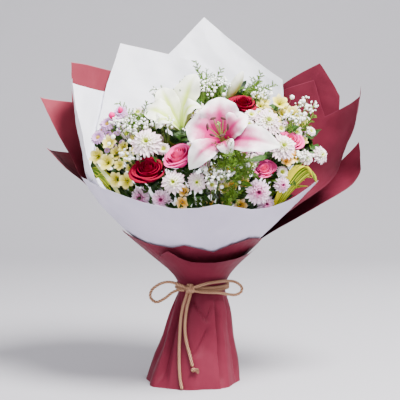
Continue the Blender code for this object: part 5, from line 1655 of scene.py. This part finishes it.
print("the flowers reach", highest(0.0), "mm up the cushion in the middle")

# %% [markdown]
# Which small bloom grows where follows the photo by region: lilac asters on the far left, cream
# alstroemerias below them, salmon ones along the front rim, and chrysanthemums elsewhere.

# %% Small blooms
REGIONS = (                      # across, up, and (chance, bloom) pairs; the first row that holds counts
    ((-999, -118), (-58, 999), ((1.0, "lilac_aster"),)),
    ((-999, -128), (-999, 999), ((1.0, "cream_alstroemeria"),)),
    ((-999, -45), (30, 999), ((0.3, "lilac_aster"),)),
    ((-999, -45), (-45, 999), ((0.1, "white_mum"),)),
    ((85, 999), (5, 999), ((0.5, "cream_alstroemeria"),)),
    ((-999, 999), (5, 999), ()),
    ((-999, 999), (-999, -108), ((0.45, "salmon_alstroemeria"), (0.65, "cream_alstroemeria"),
                                 (0.8, "pink_mum"), (1.0, "white_mum"))),
    ((-999, -70), (-999, 999), ((0.7, "cream_alstroemeria"),)),
    ((85, 999), (-999, 999), ((0.25, "cream_alstroemeria"), (0.5, "pink_mum"), (1.0, "white_mum"))),
    ((-999, 999), (-999, 999), ((0.35, "white_mum"), (0.6, "pink_mum"))))


def kind_at(across, up, chance):
    """The bloom that the first region holding the place gives for this chance, or none."""
    for (left, right), (low, high), kinds in REGIONS:
        if left < across < right and low < up < high:
            return next((kind for share, kind in kinds if chance < share), None)


KINDS = {"white_mum": white_mum, "lilac_aster": lilac_aster, "cream_alstroemeria": cream_alstroemeria,
         "salmon_alstroemeria": salmon_alstroemeria, "pink_mum": pink_mum}
small = {kind: [] for kind in KINDS}
centres = np.array(blooms)
for place in ((147, -106, 360), (160, -96, 366)):
    small["salmon_alstroemeria"].append((np.array(place, float), unit((0.2, -0.85, 0.45)), 11.5))
    centres = np.vstack([centres, [*place, 11.5]])
for across, up in zip(*scattered(2200, 183, 136, 0.4)):
    size, chance = rng.uniform(8.5, 11.5), rng.random()
    kind = kind_at(across, up, chance)
    if across < -118 and up > -58:
        size *= 0.6
    place = seat(across, up, dome(across, up) - rng.uniform(6, 18))
    near = np.linalg.norm(centres[:, :3] - place, axis=1) - centres[:, 3] * 0.92 - size * 0.6
    if kind is None or near.min() < 0 or not inside(place, size * 0.8) or up > highest(across) - size:
        continue
    centres = np.vstack([centres, [*place, size]])
    small[kind].append((place, facing(across, up, 30.0), size))
for kind, spots in small.items():
    solids = []
    for k, (place, look, size) in enumerate(spots):
        head = (funnel_head if "alstro" in kind else ray_head)(size, 300 + k)
        solids.append(placed(head, place, look, rng.uniform(0, 1)))
        down = unit(NECK - place)
        green_parts.append(stalk(place + down * 60, place - look * size * 0.5, -down, look, 0.9, 7, 4))
    add_piece("small_" + kind, solids, KINDS[kind])
    print(kind, len(spots), "small heads")

# %% [markdown]
# Leaves come next, in the same spiral but deeper. Each points away from the tie, with some
# chance in it, and is left out where it would leave the cup or cut through a bloom.

# %% Leaves between the blooms
count = 1100
across, up = scattered(count, 184, 137, 1.1)
deep = rng.uniform(12, 40, count)
start = CUSHION + np.outer(across, [1, 0, 0]) + np.outer(up, SLOPE) \
    + np.outer(dome(across, up) - deep - 14, OUTWARD)
heading = unit(0.6 * unit(start - NECK) + rng.normal(size=(count, 3)) * 0.6 + [0, -0.1, 0])
length = rng.uniform(20, 34, count)
end = start + heading * length[:, None]
keep = np.array([inside(p, 3.0) and inside(q, 1.0) for p, q in zip(start, end)]) & (up < highest(across) - 8)
spare = np.linalg.norm(end[:, None] - centres[None, :, :3], axis=2) - centres[None, :, 3] * 0.55
keep &= spare.min(1) > 0
side = unit(np.cross(heading, OUTWARD + rng.normal(size=(count, 3)) * 0.35))
bend = rng.normal(size=(count, 3)) * 4 + [0, 0, -4]
fresh = rng.random(count) < 0.22
for name, some, material in (("filling_leaves_dark", keep & ~fresh, dark_leaf),
                             ("filling_leaves_fresh", keep & fresh, fresh_leaf)):
    solid = leaves(start[some], heading[some], length[some], bend[some], side[some],
                   rng.uniform(5.0, 9.0, some.sum()), rows=8, columns=3, tone=rng.random(some.sum()))
    add_piece(name, [solid], material)
    print(name, some.sum(), "leaves")

# %% [markdown]
# The stems keep a few leaves of their own above the tie, four places on each. Where one would
# reach past the innermost sheet or up among the blooms, it isn't made.

# %% Leaves on the stems
low = lines[1:, 22:38:5].reshape(-1, 3)
way = unit(np.repeat(lines[1:, -1] - lines[1:, 20], 4, 0))
heading = unit(way + rng.normal(size=low.shape) * 0.7)
end = low + heading * 34.0
keep = np.array([inside(p, 3.0) and inside(q, 3.0) and q[2] < 400 for p, q in zip(low, end)])
side = unit(np.cross(heading, rng.normal(size=low.shape)))
solid = leaves(low[keep], heading[keep], 32.0, rng.normal(size=(keep.sum(), 3)) * 5, side[keep], 6.0, rows=8,
               tone=rng.random(keep.sum()))
add_piece("stem_leaves", [solid], dark_leaf)
print(keep.sum(), "leaves on the stems")

# %% [markdown]
# Just inside the front sheet's rim a row of leaves hides where the blooms' stalks go down. They
# follow the rim's own height, which is repeated here from that sheet.

# %% Leaves along the rim
count = 120
turn = np.linspace(198, 340, count) + rng.uniform(-1, 1, count)
rim = np.interp(turn, *np.array(FRONT_RIM).T) + rng.uniform(-6, 7, count)
low = rim - 30.0
radius = np.stack([innermost(turn, h) - rng.uniform(9, 20, count) for h in (low, rim)])
a = np.radians(turn)
start, end = (np.stack([NECK_X + r * np.cos(a), r * np.sin(a), h], -1) for r, h in zip(radius, (low, rim)))
side = np.stack([-np.sin(a), np.cos(a), rng.normal(size=count) * 0.2], -1)
solid = leaves(start, end - start, np.linalg.norm(end - start, axis=1), rng.normal(size=(count, 3)) * 3, side,
               rng.uniform(5, 8, count), rows=8, columns=3, tone=rng.random(count))
add_piece("rim_leaves", [solid], dark_leaf)
print(count, "leaves along the rim")

# %% [markdown]
# Five single broad leaves stand out in the photo beside the lilies and the pink rose. Each is
# given by its foot, its tip and its half width.

# %% Broad leaves
BLADES = (((14, -72, 430), (-15, -76, 470), 8.5), ((18, -66, 428), (0, -66, 462), 8.0),
          ((6, -92, 392), (-26, -98, 404), 10.0), ((120, -108, 366), (88, -128, 362), 5.5),
          ((140, -70, 400), (170, -84, 414), 6.0))
foot, last, half = (np.array(part, float) for part in zip(*BLADES))
solid = leaves(foot, last - foot, np.linalg.norm(last - foot, axis=1), (-2, -6, -3),
               np.cross(last - foot, [0.1, 0.8, -0.5]), half, rows=20, columns=7,
               tone=np.linspace(0.3, 1.0, len(foot)))
add_piece("filling_broad_leaves", [solid], dark_leaf)
print(len(BLADES), "broad leaves")

# %% [markdown]
# More gypsophila is scattered in small tufts between the large sprays, as a florist does last.

# %% Tufts of gypsophila
TUFTS = ((-128, -30, 58), (-62, -52, 74), (-8, -70, 78), (78, -64, 76), (52, -112, 46), (140, -8, 52),
         (30, 52, 72), (-60, 20, 76), (92, 30, 66), (8, -108, 58), (-108, -86, 40), (150, -72, 26))
balls = []
for number, (across, up, out) in enumerate(TUFTS):
    heads = np.array([seat(across + 17 * math.sqrt(k / 6) * math.cos(2.4 * k),
                           up + 14 * math.sqrt(k / 6) * math.sin(2.4 * k), out + 4 + 2 * (k % 3))
                      for k in range(6)])
    middle = heads.mean(0)
    balls.append(gyps_cloud(heads, middle + (NECK - middle) * 0.16, 80 + number, 6, 6.5))
add_piece("filling_gypsophila", balls, gypsophila)
print(len(TUFTS), "tufts of gypsophila")

# %% [markdown]
# Round white buds like pearls stand singly on reddish stalks, and on the left two pink buds are
# about to open. A bud is a rod whose radius is that of a ball, R sqrt(1 - u^2).

# %% Buds
PEARLS = ((-111, -54, 69), (-100, -64, 69), (-86, -58, 75), (-81, -71, 72), (-109, -74, 62), (-93, -79, 65),
          (-135, -58, 57), (-141, -66, 50), (-77, -86, 66), (5, -124, 50), (19, -128, 43), (14, -133, 34),
          (29, -136, 25), (29, -102, 66), (55, -130, 29), (15, 1, 92), (33, 3, 91))
HIGH_PEARLS = [(157, -62, 455), (174, -62, 449), (177, -62, 429), (175, -62, 422), (163, -62, 417)]
pearls = np.array([seat(*place) for place in PEARLS] + HIGH_PEARLS, float)
u = np.linspace(-0.96, 0.96, 8)
ball = rng.uniform(2.7, 3.9, (len(pearls), 1)) * np.ones(8)
upward = unit(pearls - NECK)
solid = rods(pearls[:, None] + upward[:, None] * (u * ball)[..., None], ball * np.sqrt(1 - u ** 2), 10,
             TINY_ACROSS, 0.9)
add_piece("filling_pearls", [solid], gypsophila)
t = np.linspace(0, 1, 10)
buds = np.array([(-121, -76, 427), (-108, -72, 435)], float)
solid = rods(buds[:, None] + np.array([-0.1, -0.3, 0.9]) * (12.0 * t - 6.0)[None, :, None],
             5.2 * np.sqrt(np.maximum(np.sin(math.pi * t), 0.02)) * np.array([[1.0], [0.7]]), 12,
             (1.0, 0.0, 0.0), 0.3)
add_piece("filling_pink_buds", [solid], pink_rose)

red_stalk = Finish("reddish stalk", "stem", roughness=0.6)
red_stalk.feed(Base_Color=red_stalk.mix(red_stalk.noise(160.0), (0.22, 0.03, 0.04), (0.2, 0.12, 0.05)))
t = np.linspace(0, 1, 6)[None, :, None]
stalks = pearls[:, None] - upward[:, None] * (2.0 + 34.0 * t) + rng.normal(size=(len(pearls), 1, 3)) * 3.0 * t
add_piece("filling_pearl_stalks", [rods(stalks, 0.35, 4, TINY_ACROSS)], red_stalk.material)
print(len(pearls), "white buds and", len(buds), "pink ones")

# %% [markdown]
# Fern also fills the middle and the top in loose tufts: short fronds that fan out to the front
# from one point, z = 1 - 1.3 s along the view and at golden angles around it.

# %% Tufts of fern
FRONT = unit((0.0, -0.86, 0.5))
ABOVE = unit(np.cross(FRONT, [1.0, 0, 0]))
FLUFF = (                        # middle of each feathery tuft, its reach and its fronds
    ((58, -160, 378), 22, 20), ((70, -158, 362), 22, 20), ((50, -156, 358), 18, 12),
    ((84, -150, 350), 18, 12), ((68, -146, 336), 18, 10), ((62, -140, 314), 17, 12), ((56, -138, 300), 14, 8),
    ((14, -124, 300), 14, 6),
    ((10, -26, 470), 24, 12), ((26, -26, 478), 24, 12), ((38, -24, 462), 20, 10), ((100, -26, 468), 24, 12),
    ((-88, -98, 418), 18, 12), ((-72, -96, 424), 19, 12), ((-110, -72, 392), 15, 8),
    ((156, -76, 410), 15, 10), ((-118, -84, 366), 13, 6))
solids = []
for k, (middle, reach, count) in enumerate(FLUFF):
    for j in range(count):
        z = 1 - 1.3 * (j + 0.5) / count
        a, flat = GOLDEN * j + k, math.sqrt(1 - z * z)
        way = unit(FRONT * z + np.array([flat * math.cos(a), 0, 0]) + ABOVE * flat * math.sin(a))
        solids += frond(np.array(middle, float) - FRONT * reach * 0.4, way, reach * 0.95,
                        rng.normal(size=3) * 3, reach * 0.45, 260 + 40 * k + j, twigs=9, needles=12)
add_piece("filling_fern", solids, fern_green.material)
print(len(FLUFF), "tufts of fern")

# %% [markdown]
# The striped grass shows most where it arches over the rim: six blades on the right and three on
# the left. A blade is a parabola through its foot, its highest point and its end.

# %% Grass that arches over the rim
RIGHT_ARCH = (((126, -90, 284), (12, 14, 4)), ((170, -96, 351), (14, 12, -13)),
              ((188, -84, 332), (6, 8, -10)))
LEFT_ARCHES = (((-116, -74, 300), (-146, -72, 343), (-163, -57, 338)),
               ((-110, -82, 298), (-138, -80, 336), (-153, -70, 326)),
               ((-104, -96, 298), (-132, -84, 338), (-151, -62, 354)))
CREST = 0.64                     # where along a blade its highest point lies
step = np.linspace(0, 1, 6)[:, None]
foot, apex, last = (np.vstack([np.array(first, float) + step * np.array(drift, float),
                               [arch[k] for arch in LEFT_ARCHES]])
                    for k, (first, drift) in enumerate(RIGHT_ARCH))
bend = (apex - foot - (last - foot) * CREST) / (CREST ** 2 - CREST)
heading = last - foot - bend
half = [6.5, 6.5, 6.5, 6.0, 6.0, 5.0, 9.0, 8.5, 3.4]
side = np.array([(0.93, 0.1, -0.2)] * 6 + [(0.8, -0.2, 0.55)] * 3)
solid = leaves(foot, heading, np.linalg.norm(heading, axis=1), bend, side, half, SLIM, rows=30, columns=7,
               thickness=0.5, wave=0.03, tone=[0.0, 0.35, 0.5, 0.6, 0.75, 0.9, 0.4, 0.7, 1.0])
add_piece("filling_grass", [solid], striped.material)
print(len(half), "arching blades")

# %% [markdown]
# Every stalk, calyx and pistil made so far was kept in one list. They are one piece with one
# green, lighter and darker by its tone.

# %% Stalks and calyces
stalk_green = Finish("stalk green", "stem", roughness=0.5)
sides, along, tone = stalk_green.surface()
cloud = stalk_green.noise(80.0)
stalk_green.feed(Base_Color=stalk_green.mix(cloud.between(0.2, 0.8) * 0.6 + tone * 0.4,
                                            (0.06, 0.15, 0.015), (0.26, 0.38, 0.06)))
stalk_green.relief(cloud, 0.0003)
add_piece("stalks_and_calyces", green_parts, stalk_green.material)
print("greenery,", sum(TRIANGLES.values()), "triangles so far")

# %% [markdown]
# ## Light and ground
#
# A pale plain floor runs up behind as a soft curve, lit by one large lamp from above on the
# right, a weaker one from the left and an even pale sky, as for a shop's product photo.

# %% Studio
world = bpy.data.worlds.new("studio")
world.use_nodes = True
world.node_tree.nodes["Background"].inputs["Color"].default_value = (0.86, 0.87, 0.9, 1.0)
world.node_tree.nodes["Background"].inputs["Strength"].default_value = 0.95
bpy.context.scene.world = world


def lamp(name, place, aim, size, power, colour):
    """A round lamp at place whose axis points at aim; its turn is read off the three axes."""
    light = bpy.data.lights.new(name, "AREA")
    light.shape, light.size, light.energy, light.color = "DISK", size, power, colour
    made = bpy.data.objects.new(name, light)
    made.location = place
    ahead = -unit(np.subtract(aim, place))
    side = unit(np.cross([0.0, 0.0, 1.0], ahead))
    up = np.cross(ahead, side)
    made.rotation_euler = (math.atan2(up[2], ahead[2]), math.asin(-side[2]), math.atan2(side[1], side[0]))
    bpy.context.scene.collection.objects.link(made)


lamp("key", (0.8, -0.9, 2.3), (0.0, 0.0, 0.36), 1.1, 250.0, (1.0, 0.99, 0.98))
lamp("fill", (-1.4, -1.5, 1.0), (0.0, 0.0, 0.32), 1.2, 20.0, (0.96, 0.96, 1.0))
lamp("rim", (1.3, 0.9, 1.3), (0.0, 0.0, 0.4), 0.8, 22.0, (1.0, 1.0, 1.0))
print(len(bpy.data.lights), "lamps")

# %% [markdown]
# The floor is one sheet that bends up behind, so that no horizon shows.

# %% Floor
t = np.linspace(0, math.pi / 2, 24)
bow = np.stack([1.6 + 1.2 * np.sin(t), 1.2 - 1.2 * np.cos(t)], 1)
sweep = np.concatenate([[[-4.0, 0.0]], bow, [[2.8, 5.0]]])
ground = np.stack(np.broadcast_arrays([[-5.0, 5.0]], sweep[:, :1], sweep[:, 1:]), -1).reshape(-1, 3)
mesh = bpy.data.meshes.new("studio floor")
quads = [(2 * k, 2 * k + 1, 2 * k + 3, 2 * k + 2) for k in range(len(sweep) - 1)]
mesh.from_pydata(ground.tolist(), [], quads)
mesh.shade_smooth()
backdrop = Finish("studio floor", None, roughness=0.8)
backdrop.feed(Base_Color=backdrop.mix(backdrop.noise(1.2), (0.41, 0.4, 0.43), (0.44, 0.43, 0.46)))
mesh.materials.append(backdrop.material)
floor = bpy.data.objects.new("studio_floor", mesh)
bpy.context.scene.collection.objects.link(floor)
print("a floor of", len(quads), "faces")

# %% [markdown]
# At the end the pieces' triangles are counted.

# %% Sizes, and the end
print(sum(TRIANGLES.values()), "triangles in", len(TRIANGLES), "pieces")
